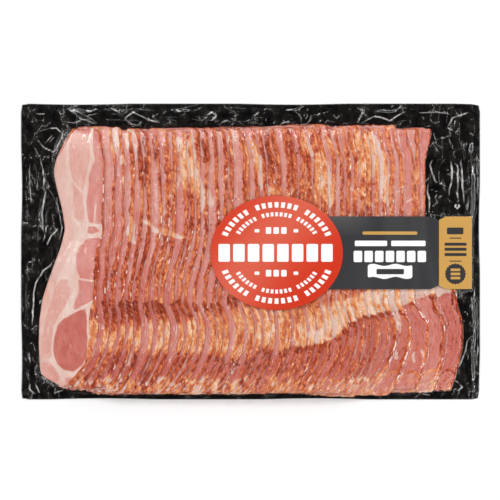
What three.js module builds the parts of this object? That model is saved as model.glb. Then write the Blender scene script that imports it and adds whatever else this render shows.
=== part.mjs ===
// Bacon pack: streaky bacon slices shingled side by side on a black backing film, sealed under a
// clear film, with a printed label in three pieces on top.
// Millimetres. X runs along the pack, Y along the slices, Z up. The origin lies on the surface that
// the pack rests on, below the middle of the pack.

import * as THREE from 'three';

// Pack and films
const PACK_LENGTH = 391;
const PACK_WIDTH = 252;
const EDGE_WAVE = 0.8;
const CORNER_CUT = 1.2;
const BACKING_THICKNESS = 0.6;
const FILM_THICKNESS = 0.4;
const GAP = 0.3;
const RIPPLE_HEIGHT = 1.1;
const FLAT_BASE_HALF_LENGTH = 184;
const FLAT_BASE_TOP = 107;
const FLAT_BASE_BOTTOM = -122.4;

// Slices: number 0 is the left one, which lies on top of all the others
const SLICE_COUNT = 41;
const LAST = SLICE_COUNT - 1;
const SLICE_THICKNESS = 2.1;
const SLICE_PITCH_HEIGHT = SLICE_THICKNESS + GAP;
const THIN_FROM_SLICE = 34;
const THIN_BY = 0.4;
const SLICE_WIDTH = 38.5;
const SLICE_TOP_END = 105;
const SLICE_BOTTOM_END = -121;
const FIRST_SLICE_BOTTOM_END = -114;
const EDGE_BEVEL = 1.6;
const END_ROUNDING = 3;
const END_JITTER = 1.3;
const EDGE_JITTER = 0.9;
const END_TAPER_LENGTH = 26;
const END_TAPER_DEPTH = 0.22;
const BEND_HEIGHTS = [-112, -101, -85, -66, -52, -39, -18, 4, 24, 52, 80, 93];
const SHARED_COLUMNS = [3, 6, 9, 12, 15, 18, 21, 24, 27, 30, 33, 35, 36, 37, 38, 39, 40];
const FURTHEST_COLUMN = 5;
const SLICE_FLOOR = BACKING_THICKNESS + GAP;

// Where the right edges of the slices lie at the top end of the pack
const FIRST_EDGE_X = -127.7;
const EDGE_PITCH = 6.24;
const LEFT_SPREAD = 20;
const LEFT_SPREAD_SLICES = 6;
const RIGHT_SPREAD = 12;
const RIGHT_SPREAD_SLICES = 1.8;

// How the slices run: each sway shifts them sideways between two heights along Y, by an amount
// that is given for the slices in SWAY_SLICES and runs evenly between those
const SWAY_SLICES = [0, 10, 24, 36, 38, 40];
const SWAYS = [
  { name: 'shoulder', from: 103, to: 74, ease: 1, shift: [3.4, 0.9, 5, 5, 6.5, -5] },
  { name: 'waist', from: 24, to: -40, ease: 1, shift: [-9.7, -11.5, -8.5, -6, 0.7, 27] },
  { name: 'hinge', from: -40, to: -65, ease: 1, shift: [-5.8, 9.4, 3.4, 8.5, 11.4, 5.4] },
  { name: 'tail', from: -70, to: -122, ease: 2, shift: [-12, -25, -20, -25, -13, -12] },
];

// The outline of the first slice: wider at its shoulder, narrow at its waist
const SHOULDER_Y = 72;
const SHOULDER_SWELL = 6;
const WAIST_Y = 18;
const WAIST_CUT = 9;
const OUTLINE_SPAN = 20;
const OUTLINE_FADE_SLICES = 4;
const NECK_CUT = 9;
const NECK_LENGTH = 24;

// Label
const OVAL_X = 22.1;
const OVAL_Y = -1.2;
const OVAL_HALF_LENGTH = 56.3;
const OVAL_HALF_WIDTH = 48.6;
const BAND_TOP = 29.8;
const BAND_BOTTOM = -32;
const PANEL_RIGHT = 159.8;
const TAB_LEFT = 160.4;
const TAB_RIGHT = 188.6;
const LABEL_THICKNESS = 0.4;
const LABEL_CHAMFER_X = 6;
const LABEL_CHAMFER_Y = 3;

const CLAMP = THREE.MathUtils.clamp;
const LERP = THREE.MathUtils.lerp;

// A repeatable random number from 0 to 1 for each whole number
function chance(seed) {
  const wave = Math.sin(seed * 12.9898 + 4.1) * 43758.5453;
  return wave - Math.floor(wave);
}

function bell(value, centre, span) {
  return Math.exp(-(((value - centre) / span) ** 2));
}

// A value listed for the slices in SWAY_SLICES, read between them
function betweenSlices(values, slice) {
  let i = 0;
  while (i < SWAY_SLICES.length - 2 && slice > SWAY_SLICES[i + 1]) {
    i += 1;
  }
  const share = (slice - SWAY_SLICES[i]) / (SWAY_SLICES[i + 1] - SWAY_SLICES[i]);
  return LERP(values[i], values[i + 1], CLAMP(share, 0, 1));
}

function sidewaysShift(slice, y) {
  let shift = 0;
  for (const sway of SWAYS) {
    const share = CLAMP((sway.from - y) / (sway.from - sway.to), 0, 1);
    const eased = sway.ease === 2 ? share ** 1.8 : share * share * (3 - 2 * share);
    shift += betweenSlices(sway.shift, slice) * eased;
  }
  return shift;
}

// The right edge of a slice. The slice number may be a fraction, which lies between two slices
function rightEdge(slice, y) {
  const row = FIRST_EDGE_X + EDGE_PITCH * slice
    + LEFT_SPREAD * (1 - Math.exp(-slice / LEFT_SPREAD_SLICES))
    + RIGHT_SPREAD * Math.exp((slice - LAST) / RIGHT_SPREAD_SLICES);
  return row + sidewaysShift(slice, y);
}

function leftEdge(slice, y) {
  const neck = CLAMP((y - SLICE_TOP_END) / NECK_LENGTH + 1, 0, 1) ** 2;
  const outline = SHOULDER_SWELL * bell(y, SHOULDER_Y, OUTLINE_SPAN)
    - WAIST_CUT * bell(y, WAIST_Y, OUTLINE_SPAN) - NECK_CUT * neck;
  const width = SLICE_WIDTH + outline * Math.exp(-Math.max(slice, 0) / OUTLINE_FADE_SLICES);
  return rightEdge(slice, y) - width;
}

// The slice number, with its fraction, whose edge passes through a point
function sliceAt(edge, x, y) {
  let low = -2;
  let high = SLICE_COUNT + 1;
  for (let step = 0; step < 26; step += 1) {
    const middle = (low + high) / 2;
    if (edge(middle, y) < x) {
      low = middle;
    } else {
      high = middle;
    }
  }
  return (low + high) / 2;
}

// The height taken up by one slice, which gets less towards both ends of the slices
function pitchHeight(y) {
  const toEnd = Math.min(SLICE_TOP_END - y, y - SLICE_BOTTOM_END);
  const taper = (1 - CLAMP(toEnd / END_TAPER_LENGTH, 0, 1)) ** 2;
  return SLICE_PITCH_HEIGHT * (1 - END_TAPER_DEPTH * taper);
}

// The underside of a slice: it climbs over the left edges of all the slices below it
function undersideHeight(slice, x, y) {
  const layers = Math.min(sliceAt(leftEdge, x, y), LAST) - slice;
  return SLICE_FLOOR + pitchHeight(y) * Math.max(layers, 0);
}

// An upper bound for the top of the pile at a point, or the floor where no slice lies
function pileHeight(x, y) {
  const beside = y > SLICE_TOP_END + END_JITTER || y < SLICE_BOTTOM_END - END_JITTER;
  if (beside || x < leftEdge(0, y) - 1 || x > rightEdge(LAST, y) + EDGE_JITTER) {
    return 0;
  }
  const lowest = Math.min(sliceAt(leftEdge, x + EDGE_JITTER, y), LAST);
  const topmost = CLAMP(sliceAt(rightEdge, x - EDGE_JITTER, y), 0, LAST);
  return SLICE_FLOOR + pitchHeight(y) * (Math.max(lowest - topmost, 0) + 1) - GAP;
}

function geometryFrom(points, triangles) {
  const geometry = new THREE.BufferGeometry();
  geometry.setAttribute('position', new THREE.Float32BufferAttribute(points.flat(), 3));
  geometry.setIndex(triangles.flat());
  geometry.computeVertexNormals();
  return geometry;
}

// A closed solid between two grids of points, an upper and a lower one with the same rows and
// columns. Columns run along X and rows along Y
function solidBetween(upper, lower) {
  const rows = upper.length;
  const columns = upper[0].length;
  const points = [...upper.flat(), ...lower.flat()];
  const half = rows * columns;
  const triangles = [];
  const quad = (a, b, c, d) => triangles.push([a, b, c], [a, c, d]);
  for (let r = 0; r < rows - 1; r += 1) {
    for (let c = 0; c < columns - 1; c += 1) {
      const at = r * columns + c;
      quad(at, at + 1, at + columns + 1, at + columns);
      triangles.push([half + at, half + at + columns + 1, half + at + 1]);
      triangles.push([half + at, half + at + columns, half + at + columns + 1]);
    }
  }
  const rim = [];
  for (let c = 0; c < columns - 1; c += 1) rim.push(c);
  for (let r = 0; r < rows - 1; r += 1) rim.push(r * columns + columns - 1);
  for (let c = columns - 1; c > 0; c -= 1) rim.push((rows - 1) * columns + c);
  for (let r = rows - 1; r > 0; r -= 1) rim.push(r * columns);
  rim.forEach((here, i) => {
    const next = rim[(i + 1) % rim.length];
    quad(here, half + here, half + next, next);
  });
  return geometryFrom(points, triangles);
}

// One slice: rows of points along Y, with columns where it crosses the left edges of slices below.
// The right side is bevelled, and the ends are rounded at both corners
function sliceGeometry(slice) {
  const bottomEnd = slice === 0 ? FIRST_SLICE_BOTTOM_END : SLICE_BOTTOM_END;
  const lowY = bottomEnd + END_JITTER * (chance(slice) - 0.5);
  const highY = SLICE_TOP_END + END_JITTER * (chance(slice + 50) - 0.5);
  const phase = chance(slice + 100) * Math.PI * 2;
  const crossed = SHARED_COLUMNS.filter((o) => o > slice && o - slice <= FURTHEST_COLUMN);
  const upper = [];
  const lower = [];
  for (const y of [lowY, ...BEND_HEIGHTS, highY]) {
    const end = y === lowY || y === highY;
    const inward = end ? Math.sign(-y) * END_ROUNDING : 0;
    const jitter = slice === LAST ? 0 : EDGE_JITTER * Math.sin(y / 17 + phase);
    const left = leftEdge(slice, y + inward);
    const right = rightEdge(slice, y + inward) + jitter;
    const shared = crossed.map((other, i) => {
      const room = EDGE_BEVEL + 0.6 * (crossed.length - i);
      return Math.min(leftEdge(other, y), right - room);
    });
    const thickness = pitchHeight(y) - GAP - (slice >= THIN_FROM_SLICE ? THIN_BY : 0);
    const pointAt = (x, corner, lift) => {
      const pointY = corner ? y + inward : y;
      return [x, pointY, undersideHeight(slice, x, pointY) + lift];
    };
    const row = (lift, bevel) => [
      pointAt(left, true, lift),
      ...shared.map((x) => pointAt(x, false, lift)),
      pointAt(right - bevel, true, lift),
    ];
    lower.push(row(0, 0));
    upper.push(row(thickness, EDGE_BEVEL));
  }
  return solidBetween(upper, lower);
}

// Grid lines shared by both films and the label: close together where the pile ends
function linesBetween(from, to, spans) {
  return Array.from({ length: spans }, (_, i) => LERP(from, to, i / spans));
}

const HALF_LENGTH = PACK_LENGTH / 2;
const HALF_WIDTH = PACK_WIDTH / 2;
const X_LINES = [
  -HALF_LENGTH, ...linesBetween(-187, -115, 8), ...linesBetween(-115, 101, 6),
  ...linesBetween(101, PANEL_RIGHT, 6), PANEL_RIGHT, TAB_LEFT, 170, 179, TAB_RIGHT, HALF_LENGTH,
];
const Y_LINES = [
  -HALF_WIDTH, -122.4, -112, -84, -58, BAND_BOTTOM, BAND_TOP, 55, 80, 97, 107, 115, HALF_WIDTH,
];

// The backing lies flat under the slices and ripples gently in the sealed border
function ripple(x, y) {
  const outX = (Math.abs(x) - FLAT_BASE_HALF_LENGTH) / (HALF_LENGTH - FLAT_BASE_HALF_LENGTH);
  const outUp = (y - FLAT_BASE_TOP) / (HALF_WIDTH - FLAT_BASE_TOP);
  const outDown = (FLAT_BASE_BOTTOM - y) / (HALF_WIDTH + FLAT_BASE_BOTTOM);
  const out = CLAMP(Math.max(outX, outUp, outDown), 0, 1);
  const wave = Math.sin(x / 13 + y / 31) + Math.sin(y / 11 - x / 37);
  return RIPPLE_HEIGHT * out * out * (1 + 0.5 * wave);
}

// A grid point of a film, with the outer edge a little wavy and the corners cut
function borderPoint(x, y) {
  const edgeX = Math.abs(x) === HALF_LENGTH;
  const edgeY = Math.abs(y) === HALF_WIDTH;
  const corner = edgeX && edgeY ? CORNER_CUT : 0;
  const waveX = edgeX && !edgeY ? EDGE_WAVE * Math.max(Math.sin(y / 23 + x), 0) : 0;
  const waveY = edgeY && !edgeX ? EDGE_WAVE * Math.max(Math.sin(x / 29 + y), 0) : 0;
  return [x - Math.sign(x) * (corner + waveX), y - Math.sign(y) * (corner + waveY)];
}

// The highest point of the pile in the grid cells round a grid point
function pileRound(column, row) {
  let height = 0;
  const steps = [0, 0.2, 0.4, 0.6, 0.8, 1];
  for (let c = Math.max(column - 1, 0); c < Math.min(column + 1, X_LINES.length - 1); c += 1) {
    for (let r = Math.max(row - 1, 0); r < Math.min(row + 1, Y_LINES.length - 1); r += 1) {
      for (const shareX of steps) {
        for (const shareY of steps) {
          const x = LERP(X_LINES[c], X_LINES[c + 1], shareX);
          const y = LERP(Y_LINES[r], Y_LINES[r + 1], shareY);
          height = Math.max(height, pileHeight(x, y));
        }
      }
    }
  }
  return height;
}

// Heights of the clear film's underside at the grid points. In the label's band it is level along
// Y, and it is one plane under the oval
function filmHeights() {
  const heights = Y_LINES.map((y, row) => X_LINES.map((x, column) => {
    const backing = ripple(x, y) + BACKING_THICKNESS + GAP;
    return Math.max(backing, pileRound(column, row) + 2 * GAP);
  }));
  const plateau = Math.max(...heights.flat());
  const low = Y_LINES.indexOf(BAND_BOTTOM);
  const high = Y_LINES.indexOf(BAND_TOP);
  X_LINES.forEach((x, column) => {
    const level = Math.max(heights[low][column], heights[high][column]);
    heights[low][column] = level;
    heights[high][column] = level;
    const underOval = Math.abs(x - OVAL_X) < OVAL_HALF_LENGTH + 34;
    for (let row = low - 1; row <= high + 1; row += 1) {
      heights[row][column] = underOval ? plateau : heights[row][column];
    }
  });
  return heights;
}

const FILM_HEIGHTS = filmHeights();

function filmTopAt(x) {
  const row = FILM_HEIGHTS[Y_LINES.indexOf(BAND_TOP)];
  let column = 0;
  while (column < X_LINES.length - 2 && x > X_LINES[column + 1]) {
    column += 1;
  }
  const share = (x - X_LINES[column]) / (X_LINES[column + 1] - X_LINES[column]);
  return LERP(row[column], row[column + 1], share) + FILM_THICKNESS;
}

function backingGeometry() {
  const layer = (lift) => Y_LINES.map((y) => X_LINES.map((x) => {
    const [pointX, pointY] = borderPoint(x, y);
    return [pointX, pointY, ripple(x, y) + lift];
  }));
  return solidBetween(layer(BACKING_THICKNESS), layer(0));
}

function clearFilmGeometry() {
  const layer = (lift) => Y_LINES.map((y, row) => X_LINES.map((x, column) => {
    const [pointX, pointY] = borderPoint(x, y);
    return [pointX, pointY, FILM_HEIGHTS[row][column] + lift];
  }));
  return solidBetween(layer(FILM_THICKNESS), layer(0));
}

// The oval lies on the level part of the film
function ovalGeometry() {
  const shape = new THREE.Shape();
  shape.absellipse(0, 0, OVAL_HALF_LENGTH, OVAL_HALF_WIDTH, 0, Math.PI * 2);
  const options = { depth: LABEL_THICKNESS, bevelEnabled: false, curveSegments: 28 };
  return new THREE.ExtrudeGeometry(shape, options);
}

// A strip of the label that follows the film along X. At each row it runs from startAt(y) to
// endAt(y), with the film's own grid lines between
function bandGeometry(startAt, endAt, rows) {
  const innerStart = Math.max(...rows.map(startAt));
  const innerEnd = Math.min(...rows.map(endAt));
  const inner = X_LINES.filter((x) => x > innerStart + 1 && x < innerEnd - 1);
  const layer = (lift) => rows.map((y) => [startAt(y), ...inner, endAt(y)].map(
    (x) => [x, y, filmTopAt(x) + GAP + lift],
  ));
  return solidBetween(layer(LABEL_THICKNESS), layer(0));
}

function chamferAt(y) {
  const toCorner = Math.min(BAND_TOP - y, y - BAND_BOTTOM);
  return LABEL_CHAMFER_X * (1 - CLAMP(toCorner / LABEL_CHAMFER_Y, 0, 1));
}

function ovalSideAt(y) {
  const across = (y - OVAL_Y) / OVAL_HALF_WIDTH;
  return OVAL_X + OVAL_HALF_LENGTH * Math.sqrt(1 - across * across) + 2 * GAP;
}

const BAND_ROWS = [
  BAND_BOTTOM, ...linesBetween(BAND_BOTTOM + LABEL_CHAMFER_Y, BAND_TOP - LABEL_CHAMFER_Y, 7),
  BAND_TOP - LABEL_CHAMFER_Y, BAND_TOP,
];

function panelGeometry() {
  return bandGeometry(ovalSideAt, (y) => PANEL_RIGHT - chamferAt(y), BAND_ROWS);
}

function tabGeometry() {
  const rows = [BAND_BOTTOM, BAND_BOTTOM + LABEL_CHAMFER_Y, BAND_TOP - LABEL_CHAMFER_Y, BAND_TOP];
  return bandGeometry((y) => TAB_LEFT + chamferAt(y), () => TAB_RIGHT, rows);
}

// Materials
function finish(color, roughness, opacity = 1) {
  return new THREE.MeshStandardMaterial({
    color, roughness, metalness: 0, opacity, transparent: opacity < 1,
  });
}

const backingFinish = finish(0x141414, 0.25);
const clearFinish = finish(0xe8ecee, 0.1, 0.25);
const redFinish = finish(0xd8412c, 0.45);
const greyFinish = finish(0x3f4042, 0.45);
const goldFinish = finish(0xd3a657, 0.45);

const group = new THREE.Group();

function add(name, geometry, material) {
  const mesh = new THREE.Mesh(geometry, material);
  mesh.name = name;
  group.add(mesh);
  return mesh;
}

add('backing_film', backingGeometry(), backingFinish);
for (let slice = 0; slice < SLICE_COUNT; slice += 1) {
  const name = `slice_${String(slice + 1).padStart(2, '0')}`;
  const shade = new THREE.Color(0xc9786c).lerp(new THREE.Color(0xd98f72), chance(slice + 200));
  add(name, sliceGeometry(slice), finish(shade, 0.5));
}
add('clear_film', clearFilmGeometry(), clearFinish);
const oval = add('label_oval', ovalGeometry(), redFinish);
oval.position.set(OVAL_X, OVAL_Y, filmTopAt(OVAL_X) + GAP);
add('label_panel', panelGeometry(), greyFinish);
add('label_tab', tabGeometry(), goldFinish);

export default group;
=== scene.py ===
# %% [markdown]
# A flat sealed pack of streaky bacon. Forty-one slices lie side by side on a glossy black film, each
# one covering most of the next, and a clear film is drawn down tightly over them. A printed label in
# three pieces sits on the clear film.
#
# The solids of the pack are loaded first and stay as they are. They say where everything goes: X runs
# along the pack, Y along the slices, Z up, and the pack rests on Z = 0. Each piece below is worked
# out in the same place as its solid and then stands for it.

import bpy
import numpy as np
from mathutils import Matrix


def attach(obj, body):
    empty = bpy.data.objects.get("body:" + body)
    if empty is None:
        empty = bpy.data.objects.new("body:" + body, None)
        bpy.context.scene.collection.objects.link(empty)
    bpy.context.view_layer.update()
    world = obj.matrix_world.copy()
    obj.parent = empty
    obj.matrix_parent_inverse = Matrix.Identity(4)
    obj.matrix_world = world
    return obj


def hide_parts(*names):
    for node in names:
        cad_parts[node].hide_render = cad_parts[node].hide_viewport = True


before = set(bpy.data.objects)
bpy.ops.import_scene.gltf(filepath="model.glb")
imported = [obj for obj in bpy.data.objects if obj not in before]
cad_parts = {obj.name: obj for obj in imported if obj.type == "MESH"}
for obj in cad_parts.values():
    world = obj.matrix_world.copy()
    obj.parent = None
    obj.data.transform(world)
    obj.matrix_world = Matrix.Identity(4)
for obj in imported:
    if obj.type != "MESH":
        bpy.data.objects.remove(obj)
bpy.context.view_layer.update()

MM = 0.001

# %% [markdown]
# The camera comes first. The photo looks straight down, so a long lens high above the pack keeps its
# sides square. The lens and the width of the view give the distance.

# %% Camera
LENS = 300.0
SENSOR_WIDTH = 36.0
VIEW_WIDTH = 425.0
AIM = (-0.425, 1.275, 10.0)

camera_data = bpy.data.cameras.new("overhead_camera")
camera_data.lens = LENS
camera_data.sensor_width = SENSOR_WIDTH
camera_data.clip_end = 100.0
camera = bpy.data.objects.new("overhead_camera", camera_data)
camera_distance = LENS / SENSOR_WIDTH * VIEW_WIDTH
camera.location = (AIM[0] * MM, AIM[1] * MM, (AIM[2] + camera_distance) * MM)
bpy.context.scene.collection.objects.link(camera)
bpy.context.scene.camera = camera
print("camera height in mm:", round(AIM[2] + camera_distance))

# %% [markdown]
# Shader maths reads best as plain arithmetic. A `Wire` holds one output of a node, and sums and
# products of wires add the Math nodes by themselves. A `Finish` is one material, and its `node`
# method adds any other node.

# %% Wires and finishes
class Wire:
    """One output socket. Arithmetic on wires adds Math nodes to the same material."""

    def __init__(self, finish, socket):
        self.finish = finish
        self.socket = socket

    def math(self, operation, *values):
        return self.finish.math(operation, self, *values)

    def __add__(self, other):
        return self.finish.math("ADD", self, other)

    def __radd__(self, other):
        return self.finish.math("ADD", other, self)

    def __sub__(self, other):
        return self.finish.math("SUBTRACT", self, other)

    def __rsub__(self, other):
        return self.finish.math("SUBTRACT", other, self)

    def __mul__(self, other):
        return self.finish.math("MULTIPLY", self, other)

    def __rmul__(self, other):
        return self.finish.math("MULTIPLY", other, self)

    def __truediv__(self, other):
        return self.finish.math("DIVIDE", self, other)

    def __pow__(self, other):
        return self.finish.math("POWER", self, other)

    def size(self):
        return self.math("ABSOLUTE")

    def most(self, other):
        return self.math("MAXIMUM", other)

    def held(self):
        """The value kept between 0 and 1."""
        return self.math("MAXIMUM", 0.0).math("MINIMUM", 1.0)

    def step(self, low, high):
        """0 below low, 1 above high and even in between."""
        return ((self - low) / (high - low)).held()


class Finish:
    """A material with one Principled shader, or with another shader passed to close()."""

    def __init__(self, name):
        self.material = bpy.data.materials.new(name)
        self.material.use_nodes = True
        self.tree = self.material.node_tree
        self.tree.nodes.clear()

    def node(self, kind, settings=None, values=None, out=0):
        made = self.tree.nodes.new(kind)
        for key, value in (settings or {}).items():
            setattr(made, key, value)
        for key, value in (values or {}).items():
            socket = made.inputs[key]
            if isinstance(value, Wire):
                self.tree.links.new(value.socket, socket)
            else:
                socket.default_value = value
        return Wire(self, made.outputs[out]) if len(made.outputs) else None

    def math(self, operation, *values):
        return self.node("ShaderNodeMath", {"operation": operation}, dict(enumerate(values)))

    def blend(self, share, first, second):
        """First colour where share is 0, second where it is 1."""
        values = {0: share, 6: first, 7: second}
        return self.node("ShaderNodeMix", {"data_type": "RGBA"}, values, out=2)

    def tint(self, share, first, second):
        """First colour times the second one, by share."""
        settings = {"data_type": "RGBA", "blend_type": "MULTIPLY"}
        return self.node("ShaderNodeMix", settings, {0: share, 6: first, 7: second}, out=2)

    def place(self):
        return self.node("ShaderNodeTexCoord", out=3)

    def stretched(self, x_length, y_length, turn, where):
        """A place turned by some degrees and divided by a length in mm along each axis."""
        if turn:
            turned = {"Vector": where, "Rotation": (0.0, 0.0, float(np.radians(turn)))}
            where = self.node("ShaderNodeMapping", {"vector_type": "POINT"}, turned)
        scale = tuple(1.0 / (length * MM) for length in (x_length, y_length, x_length))
        values = {"Vector": where, "Scale": scale}
        return self.node("ShaderNodeMapping", {"vector_type": "POINT"}, values)

    def noise(self, x_length, y_length, detail=2.0, roughness=0.5, turn=0.0, where=None):
        """Noise from about 0 to 1 whose blobs have the given lengths in mm."""
        place = self.stretched(x_length, y_length, turn, where or self.place())
        values = {"Vector": place, "Scale": 1.0, "Detail": detail, "Roughness": roughness}
        return self.node("ShaderNodeTexNoise", None, values)

    def attribute(self, name):
        return self.node("ShaderNodeAttribute", {"attribute_name": name}, out=2)

    def attribute_place(self, name):
        return self.node("ShaderNodeAttribute", {"attribute_name": name}, out=1)

    def bump(self, height, distance, strength=1.0):
        values = {"Height": height, "Distance": distance * MM, "Strength": strength}
        return self.node("ShaderNodeBump", None, values)

    def close(self, shader):
        self.node("ShaderNodeOutputMaterial", None, {"Surface": shader})
        return self.material

    def principled(self, values):
        return self.close(self.node("ShaderNodeBsdfPrincipled", None, values))


def tone(red, green, blue):
    """A screen colour from 0 to 255 as the linear colour that a shader takes."""
    parts = np.array([red, green, blue]) / 255.0
    linear = np.where(parts > 0.04045, ((parts + 0.055) / 1.055) ** 2.4, parts / 12.92)
    return (*linear.tolist(), 1.0)


print("screen grey 128 in linear light:", round(tone(128, 128, 128)[0], 3))

# %% [markdown]
# The studio is a white sweep of floor, a sky that is bright near the horizon and dim straight above,
# and round the pack four soft boxes and three thin strips of light. The dim zenith matters: looking
# straight down, flat glossy film mirrors it, which keeps the film black, while every fold tips
# towards a light and shines.

# %% Studio
FLOOR_HALF_SIZE = 9.0
SKY_STRENGTH = 1.0
SKY_ZENITH = 0.02
SKY_HORIZON = 1.0
# How high the view direction points, from 0 to 1, where the sky starts and ends to fade
FADE_START = 0.35
FADE_END = 0.92
BOX_DISTANCE = 1.5

floor_mesh = bpy.data.meshes.new("studio_floor")
reach = FLOOR_HALF_SIZE
corners = [(-reach, -reach, 0.0), (reach, -reach, 0.0), (reach, reach, 0.0), (-reach, reach, 0.0)]
floor_mesh.from_pydata(corners, [], [(0, 1, 2, 3)])
floor = bpy.data.objects.new("studio_floor", floor_mesh)
bpy.context.scene.collection.objects.link(floor)

sweep = Finish("pale_floor")
speckle = sweep.noise(40.0, 40.0)
floor_mesh.materials.append(sweep.principled({
    "Base Color": sweep.blend(speckle, (0.97, 0.97, 0.97, 1.0), (0.99, 0.99, 0.99, 1.0)),
    "Roughness": 0.9,
    "Specular IOR Level": 0.0,
}))

world = bpy.data.worlds.new("studio_sky")
world.use_nodes = True
bpy.context.scene.world = world
sky_nodes = world.node_tree.nodes
sky_links = world.node_tree.links
sky_nodes.clear()
direction = sky_nodes.new("ShaderNodeTexCoord")
split = sky_nodes.new("ShaderNodeSeparateXYZ")
fade = sky_nodes.new("ShaderNodeMapRange")
fade.interpolation_type = "SMOOTHSTEP"
fade.inputs["From Min"].default_value = FADE_START
fade.inputs["From Max"].default_value = FADE_END
fade.inputs["To Min"].default_value = SKY_HORIZON
fade.inputs["To Max"].default_value = SKY_ZENITH
background = sky_nodes.new("ShaderNodeBackground")
background.inputs["Strength"].default_value = SKY_STRENGTH
sky_out = sky_nodes.new("ShaderNodeOutputWorld")
sky_links.new(direction.outputs["Generated"], split.inputs[0])
sky_links.new(split.outputs["Z"], fade.inputs["Value"])
sky_links.new(fade.outputs["Result"], background.inputs["Color"])
sky_links.new(background.outputs[0], sky_out.inputs["Surface"])

# Each light: name, direction round the pack and height above the horizon in degrees, width and
# height in metres, power in watts
SOFT_BOXES = (
    ("box_upper_left", 130.0, 50.0, 1.0, 0.22, 6.4),
    ("box_upper_right", 40.0, 44.0, 0.9, 0.16, 5.1),
    ("box_lower_right", -40.0, 47.0, 0.9, 0.16, 4.6),
    ("box_lower_left", -150.0, 40.0, 0.9, 0.14, 2.3),
    ("strip_right", 3.0, 47.0, 0.7, 0.04, 1.5),
    ("strip_left", 178.0, 47.0, 0.7, 0.04, 1.0),
    ("strip_top", 88.0, 52.0, 0.7, 0.04, 1.0),
)


def add_soft_box(name, around, above, width, height, power):
    """A rectangle light at BOX_DISTANCE that faces the middle of the pack."""
    light = bpy.data.lights.new(name, "AREA")
    light.shape = "RECTANGLE"
    light.size = width
    light.size_y = height
    light.energy = power
    box = bpy.data.objects.new(name, light)
    turn, tilt = np.radians(around), np.radians(above)
    box.location = (
        BOX_DISTANCE * np.cos(tilt) * np.cos(turn),
        BOX_DISTANCE * np.cos(tilt) * np.sin(turn),
        BOX_DISTANCE * np.sin(tilt),
    )
    box.rotation_euler = (np.pi / 2 - tilt, 0.0, turn + np.pi / 2)
    box.visible_camera = False
    bpy.context.scene.collection.objects.link(box)


for soft_box in SOFT_BOXES:
    add_soft_box(*soft_box)
bpy.context.scene.view_settings.view_transform = "Standard"
print("soft boxes:", len(SOFT_BOXES))

# %% [markdown]
# Food and film are never smooth, so most shapes below add a little noise. Random values sit on a
# whole-number grid, and a smooth curve joins them. The table of values is made once from a fixed
# seed, so the pack comes out the same each time. `rise` and `bell` turn a distance into a mask of 0
# to 1: nearly every border in this scene is one of them, or a product of both.

# %% Noise and other small helpers
RANDOM_VALUES = np.random.default_rng(41).random((256, 256))


def value_noise(x, y, seed):
    """Noise from -1 to 1: grid values a, b, c, d mixed by s = t * t * (3 - 2 * t) along x and y."""
    column = np.floor(x).astype(int)
    row = np.floor(y).astype(int)
    across = x - column
    along = y - row
    across = across * across * (3 - 2 * across)
    along = along * along * (3 - 2 * along)

    def at(right, up):
        return RANDOM_VALUES[(row + up + 57 * seed) % 256, (column + right + 113 * seed) % 256]

    low = at(0, 0) + (at(1, 0) - at(0, 0)) * across
    high = at(0, 1) + (at(1, 1) - at(0, 1)) * across
    return 2 * (low + (high - low) * along) - 1


def layered_noise(x, y, seed, layers=3):
    """A sum of noises, each half as large and half as strong as the one before."""
    total = 0
    for layer in range(layers):
        total = total + value_noise(x * 2 ** layer, y * 2 ** layer, seed + 11 * layer) / 2 ** layer
    return total / (2 - 2 ** (1 - layers))


def chance(seed):
    """A repeatable random number from 0 to 1 for each whole number, as in the solids."""
    wave = np.sin(seed * 12.9898 + 4.1) * 43758.5453
    return wave - np.floor(wave)


def rise(value, low, high):
    """0 below low, 1 above high, with s = t * t * (3 - 2 * t) in between."""
    share = np.clip((value - low) / (high - low), 0, 1)
    return share * share * (3 - 2 * share)


def bell(value, centre, span):
    """exp(-((value - centre) / span) ^ 2): 1 at the centre and nearly 0 two spans away."""
    return np.exp(-(((value - centre) / span) ** 2))


def most(*maps):
    """The highest of several maps at each place."""
    highest = maps[0]
    for each in maps[1:]:
        highest = np.maximum(highest, each)
    return highest


def along_line(line, place):
    """What a line of (place, amount) pairs says at a place, with straight stretches in between."""
    return np.interp(place, [where for where, _ in line], [amount for _, amount in line])


def distance_to_path(x, y, points):
    """The distance from each place to a line through the points, and how far along it, 0 to 1."""
    lengths = [np.hypot(x2 - x1, y2 - y1) for (x1, y1), (x2, y2) in zip(points[:-1], points[1:])]
    nearest = np.full(np.shape(x), 1e9)
    along = np.zeros(np.shape(x))
    passed = 0.0
    for (x1, y1), (x2, y2), length in zip(points[:-1], points[1:], lengths):
        share = np.clip(((x - x1) * (x2 - x1) + (y - y1) * (y2 - y1)) / length ** 2, 0, 1)
        distance = np.hypot(x - x1 - share * (x2 - x1), y - y1 - share * (y2 - y1))
        closer = distance < nearest
        nearest = np.where(closer, distance, nearest)
        along = np.where(closer, (passed + share * length) / sum(lengths), along)
        passed += length
    return nearest, along


def streak(x, y, points, half_width):
    """exp(-(distance / width) ^ 4), where the width shrinks to a fifth at both ends of the line."""
    distance, along = distance_to_path(x, y, points)
    width = half_width * (1 - 0.8 * np.abs(2 * along - 1) ** 3)
    return np.exp(-((distance / width) ** 4))


def patch(x, y, outline, softness):
    """1 inside a closed outline and 0 outside it, with a soft border."""
    inside = np.zeros(np.shape(x), dtype=bool)
    closed = [*outline, outline[0]]
    for (x1, y1), (x2, y2) in zip(closed[:-1], closed[1:]):
        if y1 == y2:
            continue
        crosses = (y1 > y) != (y2 > y)
        inside ^= crosses & (x < x1 + (y - y1) * (x2 - x1) / (y2 - y1))
    distance, _ = distance_to_path(x, y, closed)
    return rise(np.where(inside, distance, -distance), -softness, softness)


print("noise at one place:", round(float(layered_noise(np.array(1.3), np.array(2.7), 5)), 3))

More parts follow.
